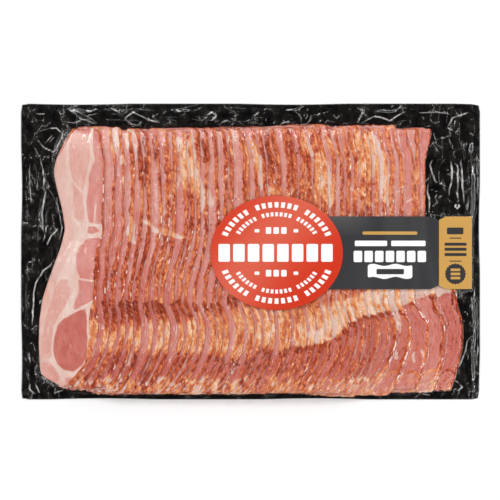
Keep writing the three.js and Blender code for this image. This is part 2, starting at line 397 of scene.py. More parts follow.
# %% [markdown]
# Every piece is a mesh made from whole arrays of points. Most are grids: the faces of a grid join
# each point to the next in its row and its column. A film or a label is a thin closed sheet, whose
# underside repeats the upper side a little lower and is joined to it round the rim.

# %% Points into pieces
def add_piece(name, points, quads, caps=()):
    """A mesh object from points in mm, four-sided faces and any end caps, turned to face out."""
    points = np.asarray(points, dtype=float)
    a, b, c, d = (points[quads[:, i]] for i in range(4))
    volume = np.einsum("ij,ij->", a, np.cross(b, c)) + np.einsum("ij,ij->", a, np.cross(c, d))
    for cap in caps:
        ring = points[cap]
        volume += np.einsum("ij,ij->", np.repeat(ring[:1], len(ring) - 2, 0),
                            np.cross(ring[1:-1], ring[2:]))
    turn = -1 if volume < 0 else 1
    loops = [quads[:, ::turn].ravel()] + [np.asarray(cap)[::turn] for cap in caps]
    sizes = np.array([4] * len(quads) + [len(cap) for cap in caps])
    mesh = bpy.data.meshes.new(name)
    mesh.vertices.add(len(points))
    mesh.vertices.foreach_set("co", (points * MM).ravel())
    mesh.loops.add(int(sizes.sum()))
    mesh.loops.foreach_set("vertex_index", np.concatenate(loops).astype(np.int32))
    mesh.polygons.add(len(sizes))
    mesh.polygons.foreach_set("loop_start", (np.cumsum(sizes) - sizes).astype(np.int32))
    mesh.update(calc_edges=True)
    mesh.validate()
    mesh.polygons.foreach_set("use_smooth", np.ones(len(mesh.polygons), dtype=bool))
    piece = bpy.data.objects.new(name, mesh)
    bpy.context.scene.collection.objects.link(piece)
    return piece


def grid_quads(rows, columns, wrap=False):
    """The four-sided faces of a grid. With wrap, the last column joins the first."""
    row = np.arange(rows - 1)[:, None]
    column = np.arange(columns if wrap else columns - 1)[None, :]
    beside = (column + 1) % columns
    here = row * columns
    quads = np.stack([here + column, here + beside, here + columns + beside,
                      here + columns + column], axis=-1)
    return quads.reshape(-1, 4)


def grid_rim(rows, columns):
    """The numbers of the points round the border of a grid, in order."""
    index = np.arange(rows * columns).reshape(rows, columns)
    return np.concatenate([index[0, :-1], index[:-1, -1], index[-1, :0:-1], index[:0:-1, 0]])


def ring_quads(ring, next_ring):
    """The four-sided faces between two closed rings of equally many points."""
    return np.stack([ring, next_ring, np.roll(next_ring, -1), np.roll(ring, -1)], axis=-1)


def add_sheet(name, x, y, z, thickness):
    """A closed sheet: the grid (x, y, z), the same grid lower by the thickness, and its rim."""
    upper = np.stack([x, y, z], axis=-1).reshape(-1, 3)
    lower = upper - (0, 0, thickness)
    top = grid_quads(*x.shape)
    rim = grid_rim(*x.shape)
    side = ring_quads(rim, rim + len(upper))
    quads = np.concatenate([top, top[:, ::-1] + len(upper), side])
    return add_piece(name, np.concatenate([upper, lower]), quads)


def store(piece, name, values):
    """One number for each point of a piece, under a name that its finish reads."""
    layer = piece.data.attributes.new(name, "FLOAT", "POINT")
    layer.data.foreach_set("value", np.ravel(values).astype(np.float32))


print("faces of a grid of 3 by 4 points:", len(grid_quads(3, 4)))

# %% [markdown]
# Each slice runs from the top of the pack to the bottom and sways sideways on the way. Its right edge
# is the row it starts in plus four eased shifts: at the shoulder, the waist, the hinge and the tail.
# These are the sizes that the solids were made with, so the slices land in the same places.

# %% Where the slices run
SLICE_COUNT = 41
LAST = SLICE_COUNT - 1
SLICE_THICKNESS = 2.1
SLICE_GAP = 0.3
THIN_FROM_SLICE = 34
THIN_BY = 0.4
SLICE_WIDTH = 38.5
SLICE_TOP_END = 105.0
SLICE_BOTTOM_END = -121.0
END_TAPER_LENGTH = 26.0
END_TAPER_DEPTH = 0.22
SLICE_FLOOR = 0.9
FIRST_EDGE_X = -127.7
EDGE_PITCH = 6.24
LEFT_SPREAD = 20.0
LEFT_SPREAD_SLICES = 6.0
RIGHT_SPREAD = 12.0
RIGHT_SPREAD_SLICES = 1.8
SWAY_SLICES = (0, 10, 24, 36, 38, 40)
SWAYS = {
    "shoulder": (103, 74, (3.4, 0.9, 5, 5, 6.5, -5)),
    "waist": (24, -40, (-9.7, -11.5, -8.5, -6, 0.7, 27)),
    "hinge": (-40, -65, (-5.8, 9.4, 3.4, 8.5, 11.4, 5.4)),
    "tail": (-70, -122, (-12, -25, -20, -25, -13, -12)),
}
SHOULDER_Y = 72.0
SHOULDER_SWELL = 6.0
WAIST_Y = 18.0
WAIST_CUT = 9.0
OUTLINE_SPAN = 20.0
OUTLINE_FADE_SLICES = 4.0
NECK_CUT = 9.0
NECK_LENGTH = 24.0


def sideways_shift(slice_number, y):
    """The sum of the four sways: each one's amount for the slice times its eased share."""
    total = 0
    for name, (start, stop, amounts) in SWAYS.items():
        share = np.clip((start - y) / (start - stop), 0, 1)
        eased = share ** 1.8 if name == "tail" else share * share * (3 - 2 * share)
        total = total + np.interp(slice_number, SWAY_SLICES, amounts) * eased
    return total


def right_edge(slice_number, y):
    """First edge + pitch * n + two spreads that fade as exp(-n / slices), plus the sideways shift."""
    row = (FIRST_EDGE_X + EDGE_PITCH * slice_number
           + LEFT_SPREAD * (1 - np.exp(-slice_number / LEFT_SPREAD_SLICES))
           + RIGHT_SPREAD * np.exp((slice_number - LAST) / RIGHT_SPREAD_SLICES))
    return row + sideways_shift(slice_number, y)


# How far the first slice's right side swells over its eye of loin: Y, millimetres
EYE_SWELL = ((-113.5, -2.4), (-107, 0.4), (-98, 4.2), (-90, 6.3), (-81, 7.6), (-72.7, 9.8),
             (-64, 10.8), (-55, 8.6), (-47, 4.7), (-40, 2.7), (-15.7, 1.5), (1.3, -2.6), (20, 0))
EYE_SWELL_SLICES = 3.2
# How far each slice was laid from its even place: no two strips are equally wide
LAID_ASIDE = 3.2 * (chance(np.arange(SLICE_COUNT) + 700) - 0.5)
LAID_ASIDE[[0, -1]] = 0.0


def shown_edge(slice_number, y):
    """The right edge, laid aside a little, with the swell fading from slice to slice as a bell."""
    aside = np.interp(slice_number, np.arange(SLICE_COUNT), LAID_ASIDE)
    swell = along_line(EYE_SWELL, y) * bell(slice_number, 0, EYE_SWELL_SLICES)
    return right_edge(slice_number, y) + aside + swell


def left_edge(slice_number, y):
    """The right edge less the width, which swells at the shoulder and narrows at the waist."""
    neck = np.clip((y - SLICE_TOP_END) / NECK_LENGTH + 1, 0, 1) ** 2
    outline = (SHOULDER_SWELL * bell(y, SHOULDER_Y, OUTLINE_SPAN)
               - WAIST_CUT * bell(y, WAIST_Y, OUTLINE_SPAN) - NECK_CUT * neck)
    fade_out = np.exp(-np.maximum(slice_number, 0) / OUTLINE_FADE_SLICES)
    return right_edge(slice_number, y) - SLICE_WIDTH - outline * fade_out


# How much of the first slices' lower left corner is cut away: Y, millimetres
FOOT_CUT = ((-122, 32), (-116, 22), (-111, 12), (-107, 4), (-103, 0))
FOOT_CUT_SLICES = 3.5
HALVING_STEPS = 18


def shown_left(slice_number, y):
    """The left edge with the foot's corner cut off, less from slice to slice."""
    cut = along_line(FOOT_CUT, y) * np.exp(-slice_number / FOOT_CUT_SLICES)
    return left_edge(slice_number, y) + cut


def slice_at(edge, x, y):
    """The slice number, with its fraction, whose edge passes through a place: halving steps."""
    low = np.full(np.broadcast(x, y).shape, -2.0)
    high = np.full(low.shape, SLICE_COUNT + 1.0)
    for _ in range(HALVING_STEPS):
        middle = (low + high) / 2
        below = edge(middle, y) < x
        low = np.where(below, middle, low)
        high = np.where(below, high, middle)
    return (low + high) / 2


def pitch_height(y):
    """The height that one slice takes up, less towards both ends of the slices."""
    to_end = np.minimum(SLICE_TOP_END - y, y - SLICE_BOTTOM_END)
    taper = (1 - np.clip(to_end / END_TAPER_LENGTH, 0, 1)) ** 2
    return (SLICE_THICKNESS + SLICE_GAP) * (1 - END_TAPER_DEPTH * taper)


def slice_thickness(slice_number, y):
    """The height that a slice takes up less the gap, and a little less for the last slices."""
    thin = np.where(slice_number >= THIN_FROM_SLICE, THIN_BY, 0.0)
    return pitch_height(y) - SLICE_GAP - thin


print("right edge of the last slice, mm:", round(float(right_edge(40.0, 0.0)), 1))

# %% [markdown]
# The ends of the slices make two gently ragged lines, and a flap of lean starts at a jagged crease
# that rises towards the right. Both are lines given by a few places along the pack. Each slice reads
# them where it lies, so the lines step from slice to slice as the real ones do.

# %% Ends and crease
TOP_LINE = ((-153, 107.3), (-145, 107.3), (-134, 105.4), (-119, 104.1), (-98, 104.1), (-85, 102.8),
            (-60, 102.9), (-17, 103.4), (5, 105.6), (11, 102.9), (34, 105.4), (63, 106.3),
            (85, 105.3), (97, 103.7), (114, 106), (125, 107.5), (131, 104.6), (153, 104))
BOTTOM_LINE = ((-180, -110), (-157, -115.6), (-149, -113.5), (-136, -118.6), (-124, -115.4),
               (-112, -118.6), (-102, -121), (-60, -120.3), (60, -119.6), (78, -120.2),
               (88, -122.3), (115, -122), (131, -121.6), (137, -118), (142, -117.6),
               (156, -121.8), (171, -118.6))
CREASE_LINE = ((-30.5, -88.8), (-9.8, -94.8), (-3.8, -94.8), (11.8, -82.4), (19, -87.7),
               (34.4, -81.8), (56.3, -78), (70.6, -76.1), (81.2, -63.8), (90.9, -56.5),
               (102.2, -53.1), (116.9, -50.1), (130.3, -48.5), (140.7, -42.4), (152.6, -36.7),
               (167, -34.1))
CREASE_DEPTH = 0.8
BOTTOM_RAGGED = 1.8
TOP_RAGGED = 3.0
FIRST_SLICE_BOTTOM = -115.0


def slice_ends(slice_number):
    """The lowest and highest Y of a slice, read from the two end lines where its strip shows."""
    low_x = right_edge(slice_number, -116.0) - EDGE_PITCH / 2
    high_x = right_edge(slice_number, 104.0) - EDGE_PITCH / 2
    lowest = along_line(BOTTOM_LINE, low_x) + BOTTOM_RAGGED * (chance(slice_number) - 0.5)
    highest = along_line(TOP_LINE, high_x) + TOP_RAGGED * (chance(slice_number + 50) - 0.5)
    if slice_number == 0:
        lowest = FIRST_SLICE_BOTTOM
    return lowest, highest


# The first slice's left side as it shows, from its foot to its top: places in mm
FIRST_LEFT_SIDE = ((-157, -116), (-168, -111), (-176.5, -107), (-178.8, -104), (-179.5, -98),
                   (-180.5, -78), (-180, -59), (-177.5, -41), (-174, -30), (-168, -13),
                   (-161.5, 4.5), (-158, 19), (-160.5, 36), (-165.5, 56), (-167.8, 68),
                   (-166, 77), (-161.5, 88), (-156, 98), (-151.5, 104), (-148, 108))


def first_left_side(y):
    """The side read between its places three times, a little apart, which rounds its corners."""
    side = [(place, edge) for edge, place in FIRST_LEFT_SIDE]
    return sum(along_line(side, y + shift) for shift in (-2.5, 0.0, 2.5)) / 3


def crease_height(slice_number):
    """The Y where a slice's flap starts, found where the strip crosses the crease line."""
    height = -70.0
    for _ in range(6):
        height = along_line(CREASE_LINE, right_edge(slice_number, height) - EDGE_PITCH / 2)
    return height + 2.4 * (chance(slice_number + 200) - 0.5)


def below_crease(slice_number, y):
    """1 on the flap under a slice's crease, for slices right of where the crease line starts."""
    crease = crease_height(slice_number)
    return rise(crease - y, -0.5, 0.5) * rise(right_edge(slice_number, crease), -34, -24)


# The line where the left half's slices kink and are burnt, and the top of the fatty fringe
HINGE_TOP = -42.5
FRINGE_TOP = -105.5
# The lower band of fat: place along X, its top and its bottom
LOWER_BAND = ((-128, -64, -84), (-94, -62, -84.5), (-60, -58, -85), (-30, -50, -88.5),
              (0, -45.5, -94), (12, -45.5, -83), (21, -45.5, -86), (42, -45.5, -80),
              (67.5, -43.8, -76), (80, -39, -65), (93, -31.5, -56), (127, -29.5, -48.5),
              (157, -28, -36))


def hinge_blob(slice_number, y):
    """1 under the hinge line of the left half's slices for 9 mm, then fading out over 14 mm."""
    top = HINGE_TOP + 3.0 * (chance(slice_number + 800) - 0.5)
    return (rise(top - y, -0.6, 0.6) * rise(y - top + 23, 0, 14)
            * rise(-right_edge(float(slice_number), y), 2, 16))


def lower_band(slice_number, x, y):
    """1 between the band's top and bottom lines, which waver from slice to slice."""
    shift = 6 * (chance(slice_number + 300) - 0.5)
    top = along_line([(place, high) for place, high, _ in LOWER_BAND], x) + shift
    bottom = along_line([(place, low) for place, _, low in LOWER_BAND], x) + 0.5 * shift
    return rise(top - y, -2.5, 4.5) * rise(y - bottom, -1.5, 1.5)


print("crease of slice 20 at Y:", round(float(crease_height(20)), 1))

# %% [markdown]
# A slice is one ring of points carried along Y: its upper side from left to right, a rounded smoked
# edge on the right, and its underside back again. It climbs over the left edges of all the slices
# below it, which is what piles them up. The points are closest together near the right edge, because
# only that strip of a slice shows.

# %% Slice shape
ROW_LENGTH = 0.95
UPPER_COLUMNS = 44
# The first slice shows whole, so its points lie closer together
FIRST_ROW_LENGTH = 0.62
FIRST_UPPER_COLUMNS = 100
COLUMN_POWER = 1.8
UNDER_SHARES = np.array([0.03, 0.15, 0.4, 0.7, 0.97])
CORNER_RADIUS = 3.0
END_ROUND = 1.3
SMOKED_EDGE = 4.0
THIN_SMOKED_EDGE = 1.5
NECK_SMOKED_EDGE = 2.6
HINGE_SMOKED_EDGE = 5.0
BAND_SMOKED_EDGE = 4.4
FRINGE_SMOKED_EDGE = 4.2


def smoked_edge_width(slice_number, y):
    """A width of its own for each slice, wavering, then set for neck, hinge, band and flap."""
    number = slice_number + 0 * y
    edge_x = right_edge(float(slice_number), y)
    waver = (1 + 0.5 * layered_noise(y / 24, number * 3.7, 3)
             + 0.45 * layered_noise(y / 7, number * 5.1, 4))
    width = SMOKED_EDGE * (0.5 + 1.0 * chance(slice_number + 600)) * waver
    hinge = hinge_blob(slice_number, y)
    settings = (
        (THIN_SMOKED_EDGE, rise(y, -14, 6) * np.clip((3.6 - slice_number) / 1.6, 0, 1)),
        (NECK_SMOKED_EDGE, rise(-20 - y, 0, 12) * rise(y, -44, -40) * rise(-edge_x, 2, 16)),
        (HINGE_SMOKED_EDGE, 0.85 * hinge),
        (BAND_SMOKED_EDGE, 0.8 * lower_band(slice_number, edge_x, y)),
        (FRINGE_SMOKED_EDGE, 0.8 * rise(FRINGE_TOP - y, -3, 4) * rise(60 - edge_x, 0, 20)),
    )
    for wanted, share in settings:
        width = width + (wanted * waver - width) * share
    last_ones = np.clip((slice_number - 34) / 3, 0, 1)
    width = width * (1 - (0.5 - 0.4 * last_ones) * below_crease(slice_number, y))
    if slice_number == LAST:
        width = (1.2 + 1.4 * rise(-20 - y, 0, 12)) * waver
    return np.clip(width * (1 - 0.3 * last_ones), 0.7, 6.0)


def quarter_round(distance, radius):
    """Height from 0 to 1 of a quarter ellipse, by distance from the edge where it starts."""
    left_over = 1 - np.clip(distance / radius, 0, 1)
    return np.sqrt(1 - left_over ** 2)


def slice_surface(slice_number):
    """Points of one slice as rows along Y by ring columns, with the maps that its finish needs."""
    first = slice_number == 0
    lowest, highest = slice_ends(slice_number)
    row_length = FIRST_ROW_LENGTH if first else ROW_LENGTH
    inner = np.linspace(lowest + 2.2, highest - 2.2, int((highest - lowest) / row_length))
    ends = np.array([0.0, 0.3, 0.7, 1.1, 1.6])
    y = np.concatenate([lowest + ends, inner, highest - ends[::-1]])[:, None]
    to_end = np.minimum(highest - y, y - lowest)
    pulled = CORNER_RADIUS - np.sqrt(
        CORNER_RADIUS ** 2 - np.clip(CORNER_RADIUS - to_end, 0, None) ** 2)
    ragged = (0.35 * value_noise(y / 2.3, 0 * y + slice_number * 5.3, 21)
              + 0.22 * value_noise(y / 0.9, 0 * y + slice_number * 2.9, 22))
    sway = 0.6 * np.sin(y / 17 + chance(slice_number + 100) * 6.283)
    sway = (sway + 0.6 * value_noise(y / 16, 0 * y + slice_number * 7.7, 24)) * (slice_number < LAST)
    right = shown_edge(float(slice_number), y) + sway + ragged - pulled
    left = shown_left(float(slice_number), y) + pulled
    if first:
        left = first_left_side(y)
    steps = np.linspace(1, 0, FIRST_UPPER_COLUMNS if first else UPPER_COLUMNS)
    upper = 0.5 - 0.5 * np.cos(np.pi * steps) if first else steps ** COLUMN_POWER
    shares = np.concatenate([upper, UNDER_SHARES])
    on_top = (np.arange(len(shares)) < len(upper))[None, :]
    x = right - (right - left) * shares[None, :]
    y = y + 0 * x
    inside = right - x
    layers = np.minimum(slice_at(left_edge, x, y), LAST) - slice_number
    under = SLICE_FLOOR + pitch_height(y) * np.maximum(layers, 0)
    edge_width = smoked_edge_width(slice_number, y)
    full = quarter_round(inside, edge_width) * quarter_round(x - left, 1.2)
    full = full * (0.3 + 0.7 * quarter_round(to_end, END_ROUND))
    thickness = slice_thickness(slice_number, y) * full
    on_edge = rise(edge_width - inside, -0.4, 0.4)
    groove = CREASE_DEPTH * bell(crease_height(slice_number) - y, 0.9, 1.3) * (right > -26)
    rough = (0.24 * layered_noise(x / 1.3, y / 1.9, 31 + slice_number, 2) * on_edge
             + 0.07 * layered_noise(x / 3.5, y / 8, 47 + slice_number))
    height = under + np.maximum(thickness + (rough - groove) * np.clip(full, 0.2, 1), 0.12 * full)
    z = np.where(on_top, height, under)
    end_wave = 1.1 * value_noise(x / 1.9, 0 * x + slice_number, 23) * np.exp(-to_end / 2.5)
    points = np.stack([x, y + end_wave, z], axis=-1)
    return points, {"inside": inside, "edge_width": edge_width, "on_edge": on_edge,
                    "to_end": to_end + 0 * x}


middle_points, _ = slice_surface(20)
print("slice 20: rows and ring columns", middle_points.shape[:2],
      "highest mm", round(float(middle_points[..., 2].max()), 1))

# %% [markdown]
# What a slice looks like is told by a few maps of 0 to 1 over its points: `fat` where the meat is
# pale, `deep` for how dark the lean is, `smoked` on the rough edge, `cream` where that edge is fat,
# `char` where it is burnt dark, and `painted_glint`, a white highlight painted on the wet rim where
# it would catch the light. The streaks of fat run on from slice to slice, as they did in the piece of
# belly that was cut, so one list of streaks in pack coordinates serves all the slices.

# %% Streaks of fat that run across the slices
# Each streak: its line in mm, half its width, how pale it makes the cut face, how creamy the edge
FAT_STREAKS = (
    (((-114.5, 106), (-114.5, 96), (-115, 80)), 2.4, 1.0, 0.4),
    (((-101, 108), (-102, 98), (-104, 88)), 3.0, 0.9, 0.6),
    (((-107.5, 62.5), (-106, 52.5)), 1.9, 0.3, 1.0),
    (((-107.5, 79.5), (-109, 72.5)), 1.8, 1.0, 0.7),
    (((-99, 90.5), (-100, 72)), 1.3, 1.0, 0.2),
    (((-79.5, 99), (-80.5, 88)), 2.1, 1.0, 0.6),
    (((-102.5, 29.5), (-100, 4.5)), 2.0, 0.8, 0.8),
    (((-92, 26), (-78.5, 20), (-68.5, 17.5), (-56.5, 13)), 1.9, 0.9, 1.0),
    (((-104, 21), (-101.5, 11.5), (-97.5, 3)), 1.8, 0.9, 0.9),
    (((-61.5, 100), (-61.5, 87)), 2.4, 1.0, 0.8),
    (((-56.5, 102.5), (-57.5, 86.5), (-56.5, 55)), 3.0, 0.5, 1.0),
    (((-50.5, 102.5), (-50.5, 73.5), (-44.5, 55), (-38, 33.5)), 3.4, 1.0, 0.9),
    (((-39.5, 55), (-32, 38.5)), 2.6, 0.9, 0.9),
    (((-15, 102.5), (-16.5, 92), (-15, 78)), 1.8, 0.9, 0.6),
    (((-4, 95.5), (-0.5, 79.5)), 3.0, 0.3, 1.0),
    (((1.5, 95), (6.5, 73.5), (9, 50.5)), 2.4, 1.0, 0.7),
    (((12.5, 52.5), (25, 49.5)), 2.8, 0.5, 0.8),
    (((44, 100.5), (47, 90.5), (54, 83.5)), 3.6, 0.8, 0.9),
    (((58, 84), (62.5, 62.5), (67, 39.5)), 6.0, 0.9, 0.95),
    (((96.5, 102.5), (97.5, 80.5)), 7.0, 0.2, 1.0),
    (((97, 81), (98, 60)), 6.0, 0.7, 1.0),
    (((101.5, 102.5), (110, 73.5), (117, 41)), 5.2, 1.0, 0.7),
    (((123.5, 86.5), (125.5, 52.5)), 4.5, 0.35, 0.4),
    (((80.5, 59), (93, 49.5), (106.5, 38.5)), 1.0, 0.8, 0.9),
    (((123, 51.5), (130.5, 53)), 0.6, 0.8, 0.3),
    (((132, 41), (140.5, 47)), 0.7, 0.8, 0.3),
    (((119.5, 39.5), (121, 31)), 1.6, 0.9, 0.6),
    (((120.5, -40.5), (127, -68.5)), 2.2, 1.0, 0.6),
    (((159.5, -31), (160, -36)), 4.4, 1.0, 1.0),
    (((72, -51.5), (74.5, -71)), 4.0, 0.4, 0.8),
    (((124.5, -85.5), (125.5, -92)), 1.1, 0.9, 1.0),
    (((139, -86.5), (139, -94)), 1.1, 0.9, 1.0),
    (((146, -84), (147.5, -96.5)), 1.1, 0.9, 1.0),
)
# Burnt places on the edges: line, half width
CHAR_STREAKS = (
    (((-92, 96), (-91.5, 70), (-91, 52.5)), 4.4),
    (((-82, 101.5), (-80.5, 78)), 3.0),
    (((-44, 100), (-38, 78)), 4.5),
    (((10, 100), (17, 70)), 4.5),
    (((-128, -42), (-118, -46), (-100, -44)), 3.5),
    (((-134, 6), (-131.5, -30)), 3.0),
    (((-26, -38), (-14, -45)), 4.5),
    (((154.8, -50.5), (156.5, -50.8)), 1.9),
    (((161, -28), (172, -44)), 3.5),
)
# How much wider the noise lets each streak and each burnt place grow
STREAK_SPREAD = 1.4
BURNT_SPREAD = 1.2


def streak_maps(slice_number, x, y):
    """How pale the face and how creamy the edge is, as the strongest of all the streaks."""
    bent_x = x + 1.6 * layered_noise(x / 7, y / 9, 5) + 0.8 * value_noise(x / 1.5, y / 2.6, 6)
    bent_y = y + 3.0 * layered_noise(x / 6, y / 12, 7) + 5 * (chance(slice_number + 400) - 0.5)
    pale = np.zeros(x.shape)
    cream = np.zeros(x.shape)
    for points, half_width, on_face, on_edge in FAT_STREAKS:
        strength = streak(bent_x, bent_y, points, STREAK_SPREAD * half_width)
        pale = np.maximum(pale, strength * on_face)
        cream = np.maximum(cream, strength * on_edge)
    burnt = most(*(streak(bent_x, bent_y, points, BURNT_SPREAD * half_width)
                   for points, half_width in CHAR_STREAKS))
    return pale, cream, burnt


print("streaks:", len(FAT_STREAKS), "burnt places:", len(CHAR_STREAKS))

# %% [markdown]
# Most slices show only a strip. Its cut face is mauve-pink lean with a thin pale line beside its
# neighbour, partly fat and partly a painted highlight of the film where it touches, and its smoked
# edge is a rough mixture of orange, brown and cream.
# Below the crease the lean turns redder and the edges thinner, and the last slices end in round
# lobes. The zones where all this happens are worked out first.

# %% Zones of the slices that show as strips
LOBE_TOP = -109.5
LAST_LOBES_HIGHER = 8.5


class Strip:
    """A slice seen as a strip. Each zone is a mask of 0 to 1 over its points."""

    def __init__(self, slice_number, points, shape_maps):
        self.slice = slice_number
        self.number = float(slice_number)
        self.x, self.y = points[..., 0], points[..., 1]
        self.inside = shape_maps["inside"]
        self.edge_width = shape_maps["edge_width"]
        self.on_edge = shape_maps["on_edge"]
        self.to_end = shape_maps["to_end"]
        self.beside = self.x - shown_edge(self.number - 1, self.y)
        self.pale, self.streak_cream, self.burnt = streak_maps(slice_number, self.x, self.y)
        self.set_noises()
        self.set_zones()
        self.set_lobes()

    def chance(self, seed):
        return chance(self.slice + seed)

    def set_noises(self):
        """The noises that several maps share."""
        x, y, inside, number = self.x, self.y, self.inside, self.number
        self.region = layered_noise(x / 15, y / 22, 88)
        self.blotch = value_noise(x / 2.7, y / 5.5 + number, 86)
        self.patchy = layered_noise(inside / 2.4 + number * 4.4, y / 9, 81)
        slant = (inside + 0.35 * y) / 2.6 + number * 2.1
        self.slanted = layered_noise(slant, (y - 0.35 * inside) / 8, 84)
        self.line_noise = layered_noise(0 * x + number * 1.7, y / 5, 71)

    def set_zones(self):
        """Band, hinge, crease and fringe, and parts of the pack from left to right."""
        x, y, inside, number = self.x, self.y, self.inside, self.number
        waver = 1.4 * inside + 3.5 * value_noise(inside / 1.6, y / 4 + number, 133)
        self.band = lower_band(self.slice, x, y + (waver - 2.8) * rise(40 - x, 0, 30))
        self.rich = self.band * rise(x, 50, 72) * rise(layered_noise(x / 9, y / 14, 89), -0.75, -0.2)
        self.hinge = hinge_blob(self.slice, y)
        self.crease = crease_height(self.slice)
        self.below = below_crease(self.slice, y)
        self.soft_below = rise(-85 - y, -4, 6) * (1 - self.below)
        self.cap = bell(self.crease - y, 2.4, 3.2) * self.below
        over = rise(y - self.crease, 0, 1) * rise(self.crease + 15 - y + 3 * self.line_noise, 0, 6)
        self.over_crease = over * rise(x, 22, 50) * rise(self.line_noise, -0.5, 0.1)
        fringe_top = FRINGE_TOP + 6 * (self.chance(950) - 0.5)
        self.fringe = rise(fringe_top - y + 4 * value_noise(x / 2.5, y / 9, 61), -2, 5)
        self.leftmost = rise(-92 - x, 0, 22)
        self.left_middle = rise(45 - y, 0, 35) * rise(-60 - x, 0, 35)
        self.right_end = rise(x, 55, 75)
        self.last_ones = rise(number, 35.5, 36.5)

    def set_lobes(self):
        """Round lower ends at the right: y below top - bow * (2 * share across - 1) ^ 2."""
        across = np.clip(self.inside / (self.inside + np.maximum(self.beside, 0.1)), 0, 1)
        bow = (2.4 + 4.6 * self.last_ones) * (2 * across - 1) ** 2
        top = LOBE_TOP + LAST_LOBES_HIGHER * self.last_ones + 2.5 * (self.chance(900) - 0.5)
        arch = top - bow
        self.lobe = rise(arch - self.y, -0.4, 0.4) * self.right_end
        self.lobe_line = bell(self.y, arch, 1.4) * self.right_end
        self.lobe_side = bell(self.beside, 0.5, 0.9) * self.lobe
        wedge = bell(self.beside, 0.4, 1.8) * bell(self.y, arch + 2.4, 2.2)
        self.wedge = wedge * self.right_end


print("lobes of the last slices start at Y:", LOBE_TOP + LAST_LOBES_HIGHER)

# %% [markdown]
# From the zones come the maps of the cut face. Fat is the strongest of several kinds: streaks, the
# pale line beside the neighbour (partly a painted highlight of the film), marbling, the fringe, the
# lower band, the fat over the crease and the wedges between the lobes. The lean is deeper in the flap
# and paler in fringe and lobes.

# %% Maps of a strip's cut face
def lines_of(noise, width):
    """A mask of the thin lines where a noise passes through zero: 1 - |noise| * width."""
    return 1 - np.abs(noise) * width


def strip_fat(strip):
    """Streaks, line beside the neighbour (partly painted highlight), marbling, fringe, band, wedges."""
    x, y, number = strip.x, strip.y, strip.number
    # Thin pale line beside the neighbour: partly fat, partly a painted highlight of the film
    fat_and_highlight_line = bell(strip.beside, 1.05, 0.55) * rise(strip.line_noise, -0.5, 0.3)
    marbling = lines_of(layered_noise(strip.inside / 1.3 + number * 3.1, y / 19, 73), 7)
    marbling = rise(marbling, 0.1, 0.9) * rise(value_noise(x / 7, y / 19 + number, 74), -0.3, 0.4)
    left_fringe = strip.fringe * rise(15 - x, 0, 35) * rise(strip.line_noise, -0.6, 0.1)
    tip_line = bell(strip.to_end, 1.1, 0.6) * (strip.chance(1300) > 0.4) * rise(y, 80, 90)
    return most(strip.pale, 0.55 * fat_and_highlight_line, (0.62 - 0.22 * strip.below) * marbling,
                0.75 * left_fringe, 0.3 * strip.band, 0.85 * strip.rich, 0.6 * tip_line,
                0.85 * strip.over_crease, 0.75 * strip.wedge)


def strip_deep(strip):
    """A middle depth, more in the flap and at the left middle, less in lobes and fringe."""
    noise = layered_noise(strip.inside / 2.5 + strip.number, strip.y / 26, 75 + strip.slice)
    deep = 0.42 + 0.2 * noise + 0.25 * (strip.chance(500) - 0.5) + 0.2 * rise(10 - strip.y, 0, 70)
    deep = deep + 0.22 * strip.left_middle + 0.24 * strip.soft_below
    deep = deep + (0.24 - 0.24 * strip.last_ones) * strip.below
    return deep - 0.2 * strip.lobe - 0.3 * strip.fringe * (1 - strip.right_end)


# %% [markdown]
# The smoked edge is wider than the strip's own edge wherever a streak, a burnt place or the band
# crosses it. Its colour follows two more maps: how creamy it is and how burnt. The hinge, the caps of
# the flaps and the burnt places are dark, and bands and fringe are mostly cream and gold.

# %% Maps of a strip's smoked edge
HINGE_CHAR = 0.62
CAP_CHAR = 0.78
BURNT_CHAR = 0.85


def strip_smoked(strip):
    """Where the edge's crumbs lie: the border, wide places and fringe, then flap, tips and lobes."""
    x, y, inside, number = strip.x, strip.y, strip.inside, strip.number
    ragged_border = 1.8 * layered_noise(inside / 1.1, y / 2.2, 77)
    border = rise(strip.edge_width * 0.95 - inside + ragged_border, -0.35, 0.35)
    blob = value_noise(x / 2.1, y / 3.4 + 3 * number, 90)
    left_fringe = strip.fringe * (1 - strip.right_end) * rise(blob, -0.15, 0.25)
    creamy_streak = strip.streak_cream * (strip.streak_cream > 0.55) * (strip.pale < 0.6)
    wide = most(strip.burnt, creamy_streak, strip.rich)
    wide_edge = rise(5.2 - inside + 1.5 * layered_noise(inside / 1.6, y / 2.4, 79), -0.5, 0.5)
    smoked = most(strip.on_edge, border, 0.9 * left_fringe, wide * wide_edge)
    smoked = smoked * (1 - 0.6 * strip.lobe * rise(inside, 1.0, 1.7))

    flap_lines = lines_of(layered_noise(inside / 0.9 + number * 2.3, y / 11, 76), 3.6)
    flap_lines = rise(flap_lines, 0.1, 0.8) * strip.below * (1 - strip.lobe)
    flap_lines = flap_lines * (1 - 0.35 * rise(number, 33, 36))
    flecks = rise(value_noise(inside / 1.1 + number, y / 2.6, 135), 0.42, 0.7)
    flecks = flecks * rise(layered_noise(x / 13, y / 17, 136), 0, 0.35)
    tip_length = 1.0 + 1.6 * value_noise(x / 1.7, y / 1.7 + number, 85)
    tip = rise(tip_length - strip.to_end, -0.4, 0.4) * (strip.chance(1200) > 0.5)
    smoked = most(smoked, 0.7 * flap_lines, 0.7 * flecks, 0.6 * tip) * (1 - 0.7 * strip.wedge)

    lobe_noise = layered_noise((inside + 0.3 * y) / 1.4, y / 4, 78 + strip.slice)
    lobe_lines = strip.lobe * rise(lines_of(lobe_noise, 4), 0.2, 0.8)
    cap_width = 2.2 + 3.4 * rise(x, 30, 55) - 0.3 * (strip.crease - y - 2) ** 2
    cap = (strip.cap > 0.1) * rise(cap_width - inside, -0.6, 0.6)
    return most(smoked, 0.9 * strip.lobe_line, 0.85 * strip.lobe_side, 0.7 * lobe_lines, 0.9 * cap)


